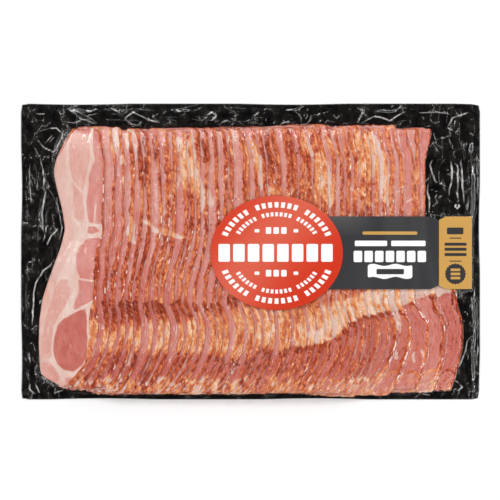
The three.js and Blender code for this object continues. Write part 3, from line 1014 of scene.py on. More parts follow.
def strip_cream(strip):
    """The strongest of patches, streaks, band, crease and fringe, held down in flap and hinge."""
    patches = 0.16 + 0.55 * rise(strip.patchy + 0.5 * strip.region, -0.1, 0.5)
    in_band = 0.38 + 0.26 * rise(-18 - strip.x, 0, 25) - 0.42 * strip.leftmost
    in_band = in_band + 0.75 * strip.slanted + 0.5 * strip.region
    in_fringe = (0.66 + 0.7 * strip.blotch) * (1 - 0.7 * rise(strip.x, -5, 35))
    creamy = most(patches, strip.streak_cream, in_band * strip.band,
                  (0.34 + 0.95 * strip.slanted) * strip.rich,
                  (0.75 + 0.3 * strip.patchy) * strip.over_crease, in_fringe * strip.fringe)
    creamy = np.minimum(creamy, 0.82 + 0.3 * strip.blotch)
    above_fringe = 1 - strip.fringe
    creamy = creamy * (1 - 0.7 * strip.below * above_fringe)
    creamy = creamy * (1 - 0.6 * strip.soft_below * above_fringe)
    return creamy * (1 - 0.8 * strip.hinge * (1 - strip.band))


def strip_char(strip):
    """Noise, or the burnt places where they are darker, less in bands, fringe and lobes."""
    char = 0.33 + 0.65 * layered_noise(strip.inside / 1.5, strip.y / 6.5, 83 + strip.slice)
    char = char + 0.3 * (strip.chance(1000) - 0.5) - 0.35 * strip.region
    char = most(char, BURNT_CHAR * strip.burnt, HINGE_CHAR * strip.hinge, CAP_CHAR * strip.cap)
    char = char + 0.2 * strip.soft_below - 0.3 * strip.streak_cream
    char = char - (0.5 - 0.3 * strip.leftmost) * strip.band * (1 - strip.cap)
    char = char + 0.25 * strip.left_middle * (1 - strip.band)
    char = char - (0.1 + 0.6 * strip.blotch) * strip.fringe
    char = char + 0.3 * (strip.slice == LAST) * strip.below
    return char - 0.3 * np.maximum(strip.lobe_line, strip.lobe)


def strip_painted_glint(strip):
    """Painted highlights: dashes on the wet rim, more on the last slices, and a faint line all along.
    """
    x, y, inside, number = strip.x, strip.y, strip.inside, strip.number
    dashes = value_noise(0 * x + number * 3.3, y / 2.8 + 0.3 * number, 131)
    zone = layered_noise(x / 22, y / 26, 132)
    extra = 0.24 * strip.last_ones * rise(-30 - y, 0, 20) * (strip.slice < LAST)
    painted_glint = bell(inside, 0.55, 0.5 + extra) * rise(dashes + extra, 0.45, 0.7)
    painted_glint = painted_glint * rise(zone + 1.5 * extra, -0.2, 0.15)
    # A faint painted highlight line along the very edge of the rim
    rim_noise = value_noise(0 * x + number * 5.9, y / 6, 134)
    return most(painted_glint, 0.4 * bell(inside, 0.15, 0.4) * rise(rim_noise, -0.4, 0.2))


def strip_maps(slice_number, points, shape_maps):
    """The six maps of a strip, by name."""
    strip = Strip(slice_number, points, shape_maps)
    return {"fat": strip_fat(strip), "deep": strip_deep(strip), "smoked": strip_smoked(strip),
            "cream": strip_cream(strip), "char": strip_char(strip), "painted_glint": strip_painted_glint(strip)}


# %% [markdown]
# The first slice lies on top and shows whole, so its parts are drawn one by one: two bands of pale
# fat, a long light muscle, a darker one beside it, a narrow fatty waist, and the round eye of loin at
# the bottom. Each is a closed outline or a line in mm, with borders made uneven by noise.

# %% Maps of the first slice
LIGHT_MUSCLE = ((-151.5, 106), (-135.6, 106), (-136.6, 98), (-136.2, 87), (-136.6, 78), (-139.4, 65),
                (-141.5, 54), (-140.5, 39.5), (-141, 28.5), (-145, 25), (-149, 28.5),
                (-150.5, 39.5), (-151, 52.5), (-153.5, 64), (-154.5, 78), (-153.5, 89))
DARK_MUSCLE = ((-133.7, 106), (-120, 106), (-118, 78), (-118, 52.5), (-118, 24), (-129.5, 22.8),
               (-137.4, 24.5), (-139, 31), (-139.3, 44), (-138.2, 53), (-136.8, 65),
               (-135.2, 75), (-134.4, 85), (-133.6, 94))
SMALL_MUSCLE = ((-138, 21.5), (-132, 21), (-128, 17.5), (-134.5, 15), (-139, 16.5))
UPPER_MUSCLE = ((-144, 6), (-138, 11.5), (-124, 11), (-124, -9), (-130, -24.4), (-144.5, -23),
                (-148, -15.5), (-148.6, -3))
LOWER_MUSCLE = ((-146.2, -24.6), (-128, -26), (-129.5, -38), (-136, -42.3), (-143.9, -47),
                (-150, -50), (-150.8, -47.5), (-148.9, -41), (-146.2, -35))
EYE = ((-140.4, -48.2), (-139.1, -59.4), (-138.2, -76.8), (-139.1, -89.8), (-143, -96.7),
       (-150.8, -101.9), (-157.8, -101.1), (-166, -95), (-167.5, -85.5), (-166.9, -72.4),
       (-164.7, -62.9), (-158.6, -56.9), (-150.8, -52.5), (-143.9, -49.9))
SIDE_MUSCLE = ((-161.2, -24.2), (-156, -24), (-154, -29), (-154.3, -36), (-157.8, -47.1),
               (-163.8, -54.8), (-167.3, -64.2), (-168.1, -76.1), (-169.9, -89.7),
               (-177.3, -89.7), (-177.6, -78), (-176.4, -67.6), (-174.7, -54.8),
               (-169.9, -40.4), (-165.6, -31))
FOOT_MUSCLE = ((-177.5, -95), (-170, -95.5), (-165, -101), (-161.5, -108), (-168, -112),
               (-177, -108))
TOE_MUSCLE = ((-157.5, -107), (-150, -106.5), (-146, -104.5), (-149, -113), (-157, -114))
WHITE_LINES = (
    (((-151, 106), (-155, 89), (-155.5, 73.5), (-152.5, 60), (-146.5, 54), (-143, 49)), 1.5),
    (((-133, 105), (-137.5, 97.5), (-134.5, 86.5), (-133.5, 79.5), (-137.5, 66), (-140.5, 54),
      (-142, 44), (-139.5, 28.5)), 1.1),
    (((-131, 42), (-132.5, 32.5), (-132.5, 22.5)), 0.8),
    (((-140.5, -46), (-138, -58), (-137.3, -76), (-138.2, -90.5), (-142.5, -98), (-151, -103.5),
      (-159.5, -102.8), (-167.5, -94)), 1.0),
    (((-162.5, -23.5), (-168, -34.5), (-172, -45.5), (-175.5, -58), (-177, -72)), 0.7),
    (((-150, 1.5), (-152.5, -16), (-148.5, -32), (-154.5, -45.5), (-166, -63), (-168.7, -77),
      (-168.5, -89), (-161.5, -103), (-159.5, -107.5)), 1.3),
    (((-145, 53), (-141.5, 49)), 0.6),
    (((-178, -91.5), (-173, -92), (-167.5, -93.5)), 1.0),
)
# Lean muscle, how deep its colour is
FIRST_SLICE_LEAN = ((LIGHT_MUSCLE, 0.08), (DARK_MUSCLE, 0.42), (SMALL_MUSCLE, 0.45),
                    (UPPER_MUSCLE, 0.5), (LOWER_MUSCLE, 0.5), (EYE, 0.86), (SIDE_MUSCLE, 0.1),
                    (FOOT_MUSCLE, 0.2), (TOE_MUSCLE, 0.4))


def first_face(x, y, from_left):
    """Fat and depth of the cut face: 0.86 fat, less in each muscle, more along each white line."""
    bent_x = x + 0.6 * layered_noise(x / 5, y / 6, 91)
    bent_y = y + 0.9 * layered_noise(x / 5, y / 6, 92)
    fat = np.full(x.shape, 0.86)
    deep = np.full(x.shape, 0.2)
    for outline, depth in FIRST_SLICE_LEAN:
        mask = patch(bent_x, bent_y, outline, 0.55)
        fat = fat * (1 - mask)
        deep = deep + (depth - deep) * mask
    for line, half_width in WHITE_LINES:
        fat = np.maximum(fat, streak(bent_x, bent_y, line, half_width))
    veins = rise(lines_of(layered_noise(x / 3.0, y / 9, 93), 10), 0, 0.9)
    seam_zone = streak(x, y, ((-152, -5), (-150, -32), (-160, -58)), 4.5)
    fat = fat - 0.55 * veins * seam_zone * (fat > 0.5)
    fat = fat - 0.1 * rise(layered_noise(x / 3.2, y / 12, 97), 0.2, 0.6)
    fat = np.clip(fat - 0.34 * rise(11 - from_left, -4, 5), 0, 1)
    upper_right = rise(y + 0.5 * x, 24, 34) * rise(x, -150, -147)
    rind = rise(2.0 - from_left, -1, 1)
    deep = deep + 0.12 * layered_noise(x / 4, y / 9, 94) + 0.4 * upper_right + 0.15 * rind
    return fat, deep


def first_edge(x, y, inside, on_edge, from_left):
    """Where the edge is smoked, creamy and burnt: a flap beside the eye, a lens, foot and corner."""
    flap = rise(y, -93, -87) * rise(-44 - y, -1, 2)
    flap_width = along_line(((-90, 3.2), (-76, 6.4), (-60, 7.8), (-46, 4.6)), y) * flap
    wide = rise(flap_width - inside + 0.9 * layered_noise(x / 2, y / 3, 95), -0.4, 0.4)
    lens = rise(4.5 * bell(y, -16, 11) - inside + 0.5 * value_noise(x / 2, y / 3, 98), -0.3, 0.3)
    foot = rise(-110 - y + 2 * value_noise(x / 3, y, 99), -1, 1) * rise(x, -160, -150)
    corner = rise(y, 74, 96) * rise(2.2 - from_left, -0.7, 0.7)
    smoked = most(on_edge, wide, lens, 0.8 * foot, corner)
    diagonal = layered_noise((x + 0.7 * y) / 1.6, (y - 0.7 * x) / 7, 96)
    creamy = np.clip(0.15 + (0.35 + 0.8 * diagonal) * flap, 0, 1)
    char = 0.28 + 0.35 * layered_noise(x / 1.5, y / 5, 83) - 0.25 * flap
    char = char + 0.7 * bell(y, -16, 13) + 0.75 * bell(y, -53, 6)
    char = char + 0.6 * bell(y, -72, 2.5) * bell(inside, 3.2, 1.4)
    return smoked, creamy, char


def first_slice_maps(points, shape_maps):
    """The six maps of the first slice, by name."""
    x, y = points[..., 0], points[..., 1]
    inside = shape_maps["inside"]
    from_left = x - first_left_side(y)
    fat, deep = first_face(x, y, from_left)
    smoked, creamy, char = first_edge(x, y, inside, shape_maps["on_edge"], from_left)
    # Painted highlight dashes on the wet rim, as on the strips
    painted_glint = bell(inside, 0.55, 0.5) * rise(value_noise(0 * x, y / 2.8, 131), 0.5, 0.75)
    return {"fat": fat, "deep": deep, "smoked": smoked, "cream": creamy, "char": char,
            "painted_glint": painted_glint}


# %% [markdown]
# One finish serves all the slices. It mixes its colours by the maps: lean from salmon to deep rose,
# pale fat over it, then the smoked edge from orange to brown and cream. Fine noise stretched along
# the slice gives the grain of the meat, and a low bump gives its wet, fibrous surface.

# %% Bacon finish
LEAN_LIGHT = tone(222, 171, 158)
LEAN_MIDDLE = tone(212, 131, 120)
LEAN_DEEP = tone(191, 90, 76)
FAT_PALE = tone(231, 204, 194)
FAT_WARM = tone(221, 180, 165)
EDGE_CREAM = tone(241, 204, 180)
EDGE_GOLD = tone(235, 159, 99)
EDGE_ORANGE = tone(212, 108, 68)
EDGE_BROWN = tone(168, 61, 31)
CHAR_DARK = tone(124, 38, 18)
# Near-white colour of the highlights painted on the wet rims
PAINTED_WET_GLINT = tone(255, 238, 226)


def bacon_finish():
    """Lean, fat and smoked edge blended by the maps, with fibres from noise."""
    finish = Finish("smoked_bacon")
    fat = finish.attribute("fat")
    deep = finish.attribute("deep")
    smoked = finish.attribute("smoked")
    cream = finish.attribute("cream")
    char = finish.attribute("char")
    own = finish.attribute_place("own_place")
    fibres = finish.noise(0.8, 6.0, detail=3.0, where=own).step(0.3, 0.7)
    grain = finish.noise(0.7, 1.1, detail=2.0, where=own).step(0.3, 0.7)
    strokes = finish.noise(0.9, 3.6, detail=1.0, turn=38.0, where=own).step(0.34, 0.66)
    specks = finish.noise(2.2, 4.4, detail=3.0, roughness=0.6, where=own).step(0.32, 0.68)
    clouds = finish.noise(7.0, 14.0, detail=2.0).step(0.3, 0.7)

    mottle = finish.noise(1.1, 1.7, detail=3.0, roughness=0.7, where=own).step(0.3, 0.7)
    depth = (deep + (fibres - 0.5) * 0.34 + (clouds - 0.5) * 0.2 + (mottle - 0.5) * 0.24).held()
    lighter = finish.blend(depth.step(0.0, 0.5), LEAN_LIGHT, LEAN_MIDDLE)
    lean = finish.blend(depth.step(0.5, 1.0), lighter, LEAN_DEEP)
    pale = finish.blend(clouds, FAT_PALE, FAT_WARM)
    fat_share = (fat + (fibres - 0.5) * 0.3 * (1 - (fat * 2 - 1).size())).step(0.25, 0.7)
    face = finish.blend(fat_share, lean, pale)

    crumbs = (specks - 0.5) * 0.85 + (grain - 0.5) * 0.35 + (strokes - 0.5) * 0.65
    cooked = 0.44 + char * 0.62 - cream * 0.4 + crumbs * (0.5 + char.held() * 0.7 - cream * 0.2)
    rough_edge = finish.blend(cooked.step(-0.1, 0.13), EDGE_CREAM, EDGE_GOLD)
    rough_edge = finish.blend(cooked.step(0.16, 0.42), rough_edge, EDGE_ORANGE)
    rough_edge = finish.blend(cooked.step(0.48, 0.78), rough_edge, EDGE_BROWN)
    rough_edge = finish.blend(cooked.step(0.85, 1.25), rough_edge, CHAR_DARK)
    smoked_share = (smoked + (grain - 0.5) * 0.6 * (1 - (smoked * 2 - 1).size())).step(0.3, 0.6)
    colour = finish.blend(smoked_share, face, rough_edge)
    # Painted highlight: the glints of the wet rim laid on as near-white colour
    colour = finish.blend(finish.attribute("painted_glint").step(0.3, 0.7), colour, PAINTED_WET_GLINT)

    relief = fibres * 0.3 + (grain + strokes) * (0.15 + smoked * 0.65) + specks * smoked * 0.8
    return finish.principled({
        "Base Color": colour,
        "Roughness": 0.45 + smoked * 0.12 + (grain - 0.5) * 0.12,
        "Specular IOR Level": 0.18,
        "Normal": finish.bump(relief, 0.4, 0.7),
    })


bacon_material = bacon_finish()

# %% [markdown]
# Now each slice becomes a piece. Its maps go into the mesh as one number for each point. The grain of
# the meat has to run along the slice, also where the slice bends, so the mesh carries a place of its
# own for it too: the distance from the right edge and Y, with each slice 60 mm from the next one.

# %% Make the slices
OWN_PLACE_STEP = 60


def add_slice(slice_number):
    """One slice as a mesh that carries its maps and its own place."""
    points, shape_maps = slice_surface(slice_number)
    if slice_number == 0:
        maps = first_slice_maps(points, shape_maps)
    else:
        maps = strip_maps(slice_number, points, shape_maps)
    rows, columns = points.shape[:2]
    ends = [np.arange(columns)[::-1], (rows - 1) * columns + np.arange(columns)]
    name = f"slice_{slice_number + 1:02d}"
    piece = add_piece(f"bacon_{name}", points.reshape(-1, 3), grid_quads(rows, columns, True), ends)
    for map_name, values in maps.items():
        store(piece, map_name, np.clip(values, -1, 2))
    across = points[..., 0] if slice_number == 0 else shape_maps["inside"]
    apart = 0 * across + OWN_PLACE_STEP * slice_number
    own_place = np.stack([across, points[..., 1], apart], axis=-1)
    layer = piece.data.attributes.new("own_place", "FLOAT_VECTOR", "POINT")
    layer.data.foreach_set("vector", (own_place * MM).ravel().astype(np.float32))
    piece.data.materials.append(bacon_material)
    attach(piece, "root")
    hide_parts(name)
    return piece


slices = [add_slice(number) for number in range(SLICE_COUNT)]
print("slices:", len(slices), "faces:", sum(len(piece.data.polygons) for piece in slices))

# %% [markdown]
# Both films need to know how high the pile is. Its top is worked out on a fine grid: at each place
# the topmost slice is the first one whose right edge lies beyond it. The clear film can't follow a
# step straight down, so its height falls no faster than a set slope, and is then smoothed.

# %% Height of the pile and of the clear film
HALF_LENGTH = 195.5
HALF_WIDTH = 126.0
GRID_STEP = 0.8
FILM_SLOPE_X = 1.1
FILM_SLOPE_Y = 2.6
FILM_LIFT = 0.3
PILE_EDGE_ROUND = 2.4

# The rows that the label's band and tab fill, and where the tab lies on the bare border
BAND_TOP, BAND_BOTTOM = 29.8, -32.0
TAB_MIDDLE = 172.0
TAB_REACH = 18.5
TAB_LEVEL = 2.2

grid_x = np.arange(-HALF_LENGTH - 2, HALF_LENGTH + 2, GRID_STEP)
grid_y = np.arange(-HALF_WIDTH - 2, HALF_WIDTH + 2, GRID_STEP)
place_x, place_y = np.meshgrid(grid_x, grid_y)


def pile_top(x, y):
    """The highest slice top at each place, trying the topmost slice and the two after it."""
    topmost = np.ceil(np.clip(slice_at(shown_edge, x, y), 0, LAST))
    lowest = np.minimum(slice_at(left_edge, x, y), LAST)
    starts = np.array([slice_ends(number) for number in range(SLICE_COUNT)])
    height = np.zeros(x.shape)
    for extra in range(3):
        number = np.clip(topmost + extra, 0, LAST)
        ends = starts[number.astype(int)]
        inside = shown_edge(number, y) - x
        lies = (inside > 0) & (x > shown_left(number, y)) & (y > ends[..., 0]) & (y < ends[..., 1])
        under = SLICE_FLOOR + pitch_height(y) * np.maximum(lowest - number, 0)
        top = under + slice_thickness(number, y) * quarter_round(inside, PILE_EDGE_ROUND)
        height = np.maximum(height, np.where(lies, top, 0))
    return height


def moved(grid, rows, columns):
    """The grid moved on by whole rows and columns."""
    return np.roll(np.roll(grid, rows, axis=0), columns, axis=1)


def draped(height, fall_x, fall_y, passes):
    """The lowest surface over height that falls no faster than the two amounts a step."""
    for _ in range(passes):
        for side in (-1, 1):
            height = np.maximum(height, moved(height, 0, side) - fall_x)
            height = np.maximum(height, moved(height, side, 0) - fall_y)
    return height


def smoothed(height, passes):
    """Each value becomes (2 * itself + both neighbours) / 4, first along X and then along Y."""
    for _ in range(passes):
        height = (2 * height + moved(height, 0, 1) + moved(height, 0, -1)) / 4
        height = (2 * height + moved(height, 1, 0) + moved(height, -1, 0)) / 4
    return height


def read_grid(grid, x, y):
    """The grid's value at any place, mixed from the four values round it."""
    column = np.clip((x - grid_x[0]) / GRID_STEP, 0, len(grid_x) - 1.001)
    row = np.clip((y - grid_y[0]) / GRID_STEP, 0, len(grid_y) - 1.001)
    c, r = column.astype(int), row.astype(int)
    across, along = column - c, row - r
    low = grid[r, c] * (1 - across) + grid[r, c + 1] * across
    high = grid[r + 1, c] * (1 - across) + grid[r + 1, c + 1] * across
    return low * (1 - along) + high * along


pile = pile_top(place_x, place_y)
under_tab = ((np.abs(place_x - TAB_MIDDLE) < TAB_REACH) & (place_y > BAND_BOTTOM - 2)
             & (place_y < BAND_TOP + 2))
pile = np.maximum(pile, TAB_LEVEL * under_tab)
film_height = draped(pile, FILM_SLOPE_X * GRID_STEP, FILM_SLOPE_Y * GRID_STEP, passes=24)
film_height = smoothed(film_height, passes=2) + FILM_LIFT
print("pile highest mm:", round(float(pile.max()), 1), "film:", round(float(film_height.max()), 1))

# %% [markdown]
# The black backing film is a flat sheet under the bacon, and its free border is what shows. There the
# film was drawn together when the pack was sealed. The sharp folds that one notices are placed one by
# one as lines, and so are a few soft bulges. All the small ones come from noise in the next cell.

# %% Folds and bulges of the black film
# Sharp folds: a line in mm, and how high its crest is and how bright its painted highlight is
FOLDS = (
    (((-187.7, 91.5), (-182.9, 87.2), (-179.9, 80.2), (-177.7, 73.3), (-175.8, 62.9),
      (-176.4, 54.2), (-175.1, 50.8), (-176.1, 40.4), (-177.7, 32.6), (-176.7, 20.4),
      (-175.1, 12.6), (-178.6, 4)), 1.0),
    (((-187.7, 77.6), (-188.5, 68.1), (-187.9, 57.7), (-187.2, 45.6), (-186.4, 35.2)), 0.7),
    (((-184.6, 77.6), (-182.5, 68.1), (-181.2, 59.4), (-181.6, 52.5), (-177.3, 52.1)), 0.6),
    (((-172.9, 64.6), (-172.5, 53.4), (-167.3, 46.4), (-163.4, 35.2), (-160.8, 21.3), (-161.8, 13.5),
      (-165.2, 4)), 0.8),
    (((-185.5, 100.2), (-186.4, 95.9), (-181.2, 94.1), (-176, 88.9), (-168.2, 84.6), (-165, 88.1),
      (-159.6, 100.2), (-165.6, 105.2), (-176, 103.7), (-185.5, 100.2)), 0.8),
    (((-176, 91.5), (-168.2, 100.2)), 0.7),
    (((-173.8, 90.2), (-166.6, 98.5)), 0.6),
    (((-156.9, 122.7), (-149.1, 117.5), (-144.7, 112.3), (-140.4, 112.3), (-130.9, 108)), 0.9),
    (((-152.6, 123.6), (-143.9, 117.5), (-135.2, 113.2), (-129.1, 107)), 0.8),
    (((-185.5, 121), (-182.9, 117.5), (-174.2, 117.5)), 0.7),
    (((-163.8, 119.3), (-161.2, 116.7), (-156.9, 119.3)), 0.8),
    (((-187.2, 114.9), (-180.3, 111), (-174.2, 111.5)), 0.5),
    (((-162.1, 113), (-160, 110.6), (-150.8, 109.9), (-143, 111)), 0.6),
    (((-120.5, 122.7), (-110, 117.5)), 0.9),
    (((-104, 108.4), (-107.4, 113.2), (-99.7, 118.8), (-87.5, 112.3), (-74.5, 108.9)), 1.0),
    (((-107.4, 113.2), (-101, 108.6), (-91, 106.4)), 0.8),
    (((-84.1, 119.3), (-83.2, 114.1), (-78, 117.5)), 1.0),
    (((-174.2, 4), (-169.9, 13), (-163, 20.4)), 1.0),
    (((-167.3, -3.9), (-170.3, -11.7), (-176.8, -16.9), (-182.9, -27.3), (-185.1, -40.3),
      (-185.5, -52.5), (-185.7, -66.3)), 1.1),
    (((-188.5, -84.5), (-187.7, -95.8)), 0.8),
    (((-180, -106.4), (-170, -112.9), (-166, -116)), 0.8),
    (((-168.2, -120.9), (-158, -117.8)), 0.8),
    (((-149.1, -116.5), (-149.1, -122)), 0.8),
    (((-187.2, -110.5), (-188.1, -117.5), (-182.9, -122.2)), 1.0),
    (((-184.6, -108.8), (-182, -115.7), (-178.6, -121.8)), 0.7),
    (((-133.5, -121.5), (-125, -118.6)), 0.7),
    (((-38.9, 114.9), (-32.9, 118.8), (-29.4, 115.8), (-32.9, 111.5), (-35.9, 111.5)), 1.1),
    (((-27.7, 106.2), (-25, 109.7), (-19, 111.9), (-17.2, 110.2)), 1.0),
    (((-18.1, 114.5), (-9.4, 109.7), (-1, 106.5)), 0.7),
    (((5.3, 113.2), (12.7, 118.4), (13.1, 108)), 0.5),
    (((28.7, 120.6), (36.5, 120.6), (41.7, 116.7), (43.4, 111.5), (41.7, 108.9)), 1.0),
    (((47.3, 118.8), (49, 115.8), (47.3, 112.8), (45.6, 115.8), (47.3, 118.8)), 0.8),
    (((52.1, 118.4), (51.7, 113.2), (47.8, 108.6), (40, 107.9)), 1.0),
    (((23.5, 107), (27.8, 109.4), (34.8, 110.8)), 0.9),
    (((89.4, 123.6), (95.5, 119.3), (93.8, 114.9), (90.3, 108)), 1.0),
    (((92, 107.5), (98.1, 111.5), (105.1, 114.9), (109.4, 114.5), (118.1, 111.5), (123.3, 114.1),
      (128.5, 117.5), (134.5, 119.3)), 1.1),
    (((140.6, 118.4), (158.8, 118.8), (167.5, 117.5), (174.4, 114.9)), 0.9),
    (((167.5, 105.4), (172.7, 114.1), (177.9, 115.8), (187.4, 119.3)), 0.9),
    (((167.5, 106.3), (173.5, 101.9)), 0.8),
    (((155.3, 94.1), (170.1, 98.5)), 0.8),
    (((154.5, 94.1), (161.4, 82)), 0.7),
    (((165.7, 79.4), (161.4, 73.3)), 0.8),
    (((156.2, 80.2), (153.2, 73.3), (153.8, 68.5), (157.9, 59.4), (169.2, 55.1)), 0.9),
    (((151.8, 60.3), (150.7, 50.8), (152.4, 42.1), (152.6, 30.8)), 1.0),
    (((152.3, 53.4), (159.7, 50.8)), 0.7),
    (((167.9, 75.9), (170.9, 76.8), (171.8, 69.8), (170.9, 59.4), (169.2, 52.5), (169.6, 45.6)), 1.1),
    (((171.8, 76.8), (176.1, 73.3), (177, 62.9), (176.1, 50.8), (176.6, 42.1)), 1.1),
    (((176.1, 41.3), (178.3, 39.1), (176.1, 36.9), (173.9, 39.1), (176.1, 41.3)), 1.3),
    (((180, 83.7), (179.2, 75), (180.5, 64.6), (180.5, 54.2), (181.8, 43.8), (182.2, 36.9)), 1.2),
    (((192.8, 88), (193.3, 40)), 0.6),
    (((165.7, 69), (170.1, 69.8)), 0.7),
    (((179.5, -33.4), (181.2, -42.1)), 0.8),
    (((181, -51.6), (184.6, -52.5), (184.4, -56.8)), 0.8),
    (((189.2, -70.7), (184.8, -76.7), (183.1, -83.7), (178.7, -95.8), (175.3, -102.7)), 1.0),
    (((192.6, -36.9), (193.5, -76.7), (192.6, -106.2)), 0.6),
    (((188.3, -36), (189.2, -59.4)), 0.6),
    (((177, -112.3), (180.5, -115.7), (174.4, -120)), 0.7),
    (((138.9, -119), (144.9, -120.8), (154.5, -122.7)), 0.8),
)
# Soft bulges that carry a broad sheen: middle, half lengths along X and Y, height
BULGES = (
    ((185.7, 88.9), (3.6, 6.5), 1.6),
    ((186.5, 39.0), (3.2, 9), 1.5),
    ((187.0, 62.0), (2.6, 22), 0.9),
    ((189.5, -50), (2.6, 24), 1.0),
    ((187.5, -92), (3.2, 16), 1.1),
    ((-176.0, 26), (4.5, 18), 1.6),
    ((-189.0, -36), (3.4, 26), 0.5),
    ((-184.0, -100), (4.0, 9), 0.8),
    ((118.0, 118), (11, 3.0), 1.0),
    ((-58.0, 118), (9, 2.8), 0.9),
    ((-146.0, 118), (7, 2.8), 1.1),
)
print("folds:", len(FOLDS), "bulges:", len(BULGES))

# %% [markdown]
# Between the folds the film is covered in thin raised welts that run along the border and curl into
# loops, and it lies smooth again in the sealed rim. A welt is a ridge along a line where a smooth
# noise is zero. Its width stays even because the noise is divided by its own slope.

# %% Height of the black film
RIM_WIDTH = 8.0
WELT_HALF_WIDTH = 0.6
WELT_HEIGHT = 0.34
CURL_HEIGHT = 0.25
SWELL_HEIGHT = 0.6
CREST_HALF_WIDTH = 0.62
CREST_SLOPE = 0.55


def welts(x, y, seed, x_length, y_length):
    """Ridges exp(-(d / half width) ^ 2) along the zero lines of a noise, with d = |n| / |slope|."""
    noise = layered_noise(x / x_length, y / y_length, seed, 2)
    slope_y, slope_x = np.gradient(noise, y[:, 0], x[0, :])
    steep = np.hypot(slope_x, slope_y) + 0.004
    return np.exp(-((noise / steep / WELT_HALF_WIDTH) ** 2)) * rise(steep, 0.01, 0.05)


def soft_relief(x, y, bent_x, bent_y, beside):
    """Welts along the nearest border, curls, a low swell and the bulges, added up."""
    along_side = welts(bent_x, bent_y, 103, 9.0, 46.0) * beside
    along_end = welts(bent_x, bent_y, 104, 30.0, 8.0) * (1 - beside)
    curls = welts(bent_x, bent_y, 105, 12.0, 14.0) * rise(layered_noise(x / 21, y / 21, 107), 0.1, 0.5)
    strong = 0.2 + 0.8 * rise(layered_noise(x / 15, y / 15, 106), 0.0, 0.5)
    height = WELT_HEIGHT * (along_side + along_end) * strong + CURL_HEIGHT * curls
    height = height + SWELL_HEIGHT * layered_noise(x / 13, y / 16, 108, 2) + 0.5
    for (middle_x, middle_y), (half_x, half_y), bulge_height in BULGES:
        far = ((bent_x - middle_x) / half_x) ** 2 + ((bent_y - middle_y) / half_y) ** 2
        height = height + bulge_height * np.exp(-far)
    return height


def fold_crests(x, y):
    """The strongest of strength * exp(-(d / half width) ^ 2), which fades to both ends of a fold."""
    wandering_x = x + 0.5 * value_noise(x / 5, y / 5, 112)
    wandering_y = y + 0.5 * value_noise(x / 5, y / 5, 113)
    crest = np.zeros(x.shape)
    for line, strength in FOLDS:
        distance, along = distance_to_path(wandering_x, wandering_y, line)
        fold = np.exp(-((distance / CREST_HALF_WIDTH) ** 2)) * (1 - np.abs(2 * along - 1) ** 4)
        crest = np.maximum(crest, strength * fold)
    return crest


def folded_film(x, y):
    """Height = relief inside the rim + crests + the rim's own fine waves, and the painted crest
    highlight.
    """
    to_side = HALF_LENGTH - np.abs(x)
    to_end = HALF_WIDTH - np.abs(y)
    to_rim = np.minimum(to_side, to_end)
    bent_x = x + 3.0 * layered_noise(x / 17, y / 17, 101)
    bent_y = y + 3.0 * layered_noise(x / 17, y / 17, 102)
    relief = soft_relief(x, y, bent_x, bent_y, rise(to_end - to_side, -14, 10))
    crest = fold_crests(x, y)
    height = relief * rise(to_rim, 1.5, RIM_WIDTH) + CREST_SLOPE * CREST_HALF_WIDTH * crest
    sealed = 0.10 * value_noise(x / 1.7, y / 1.7, 110) + 0.25 * layered_noise(x / 11, y / 11, 111)
    # How bright the painted highlight along each crest is
    bright = 0.95 + 0.5 * value_noise(x / 4, y / 4, 114)
    return height + (sealed + 0.2) * rise(to_rim, 0, 2), crest * bright


# %% [markdown]
# The grid of the film is fine along the borders, where the folds are, and coarse under the bacon. The
# real film was cut by hand, so its edges waver a little and its corners are slightly round. A rim
# goes straight down from the upper side, and a flat underside closes the sheet.

# %% Black backing film
BACKING_TOP = 0.6
EDGE_WAVE = 0.8
CORNER_ROUND = 0.9
RIM_FOOT = 0.05
UNDERSIDE_SHARE = 0.9


def graded(*stretches):
    """Places along an axis: stretches of (from, to, step) joined end to end."""
    parts = [np.linspace(start, stop, int(round((stop - start) / step)), endpoint=False)
             for start, stop, step in stretches]
    return np.concatenate([*parts, [stretches[-1][1]]])


def backing_surface():
    """The sheet's upper side on a graded grid, pressed flat under the pile, with wavering edges."""
    x_lines = graded((-HALF_LENGTH, -156, 0.55), (-156, 146, 1.3), (146, HALF_LENGTH, 0.55))
    y_lines = graded((-HALF_WIDTH, -114, 0.5), (-114, 102, 1.3), (102, HALF_WIDTH, 0.5))
    x, y = np.meshgrid(x_lines, y_lines)
    height, crest = folded_film(x, y)
    covered = read_grid(smoothed(pile, 3), x, y)
    height = height * (1 - 0.9 * rise(covered, 0.6, 1.6))
    wave_x = EDGE_WAVE * np.maximum(np.sin(y / 23 + np.sign(x) * HALF_LENGTH), 0)
    wave_y = EDGE_WAVE * np.maximum(np.sin(x / 29 + np.sign(y) * HALF_WIDTH), 0)
    near_side = rise(RIM_WIDTH - (HALF_LENGTH - np.abs(x)), 0, RIM_WIDTH)
    near_end = rise(RIM_WIDTH - (HALF_WIDTH - np.abs(y)), 0, RIM_WIDTH)
    corner = CORNER_ROUND * near_side * near_end
    x = x - np.sign(x) * (wave_x * near_side + corner)
    y = y - np.sign(y) * (wave_y * near_end + corner)
    return x, y, height, crest


def add_backing():
    """The upper side, a rim ring just above the floor, a smaller ring on it, and a flat cap."""
    x, y, height, crest = backing_surface()
    upper = np.stack([x, y, BACKING_TOP + height], axis=-1).reshape(-1, 3)
    rim = grid_rim(*x.shape)
    low_rim = upper[rim] * (1, 1, 0) + (0, 0, RIM_FOOT)
    inner = low_rim * (UNDERSIDE_SHARE, UNDERSIDE_SHARE, 1) - (0, 0, RIM_FOOT)
    low_ring = len(upper) + np.arange(len(rim))
    inner_ring = low_ring + len(rim)
    quads = np.concatenate([grid_quads(*x.shape), ring_quads(rim, low_ring),
                            ring_quads(low_ring, inner_ring)])
    points = np.concatenate([upper, low_rim, inner])
    piece = add_piece("black_backing", points, quads, [inner_ring[::-1]])
    store(piece, "crest", np.pad(crest.ravel(), (0, 2 * len(rim))))
    return piece


backing = add_backing()
print("backing faces:", len(backing.data.polygons))
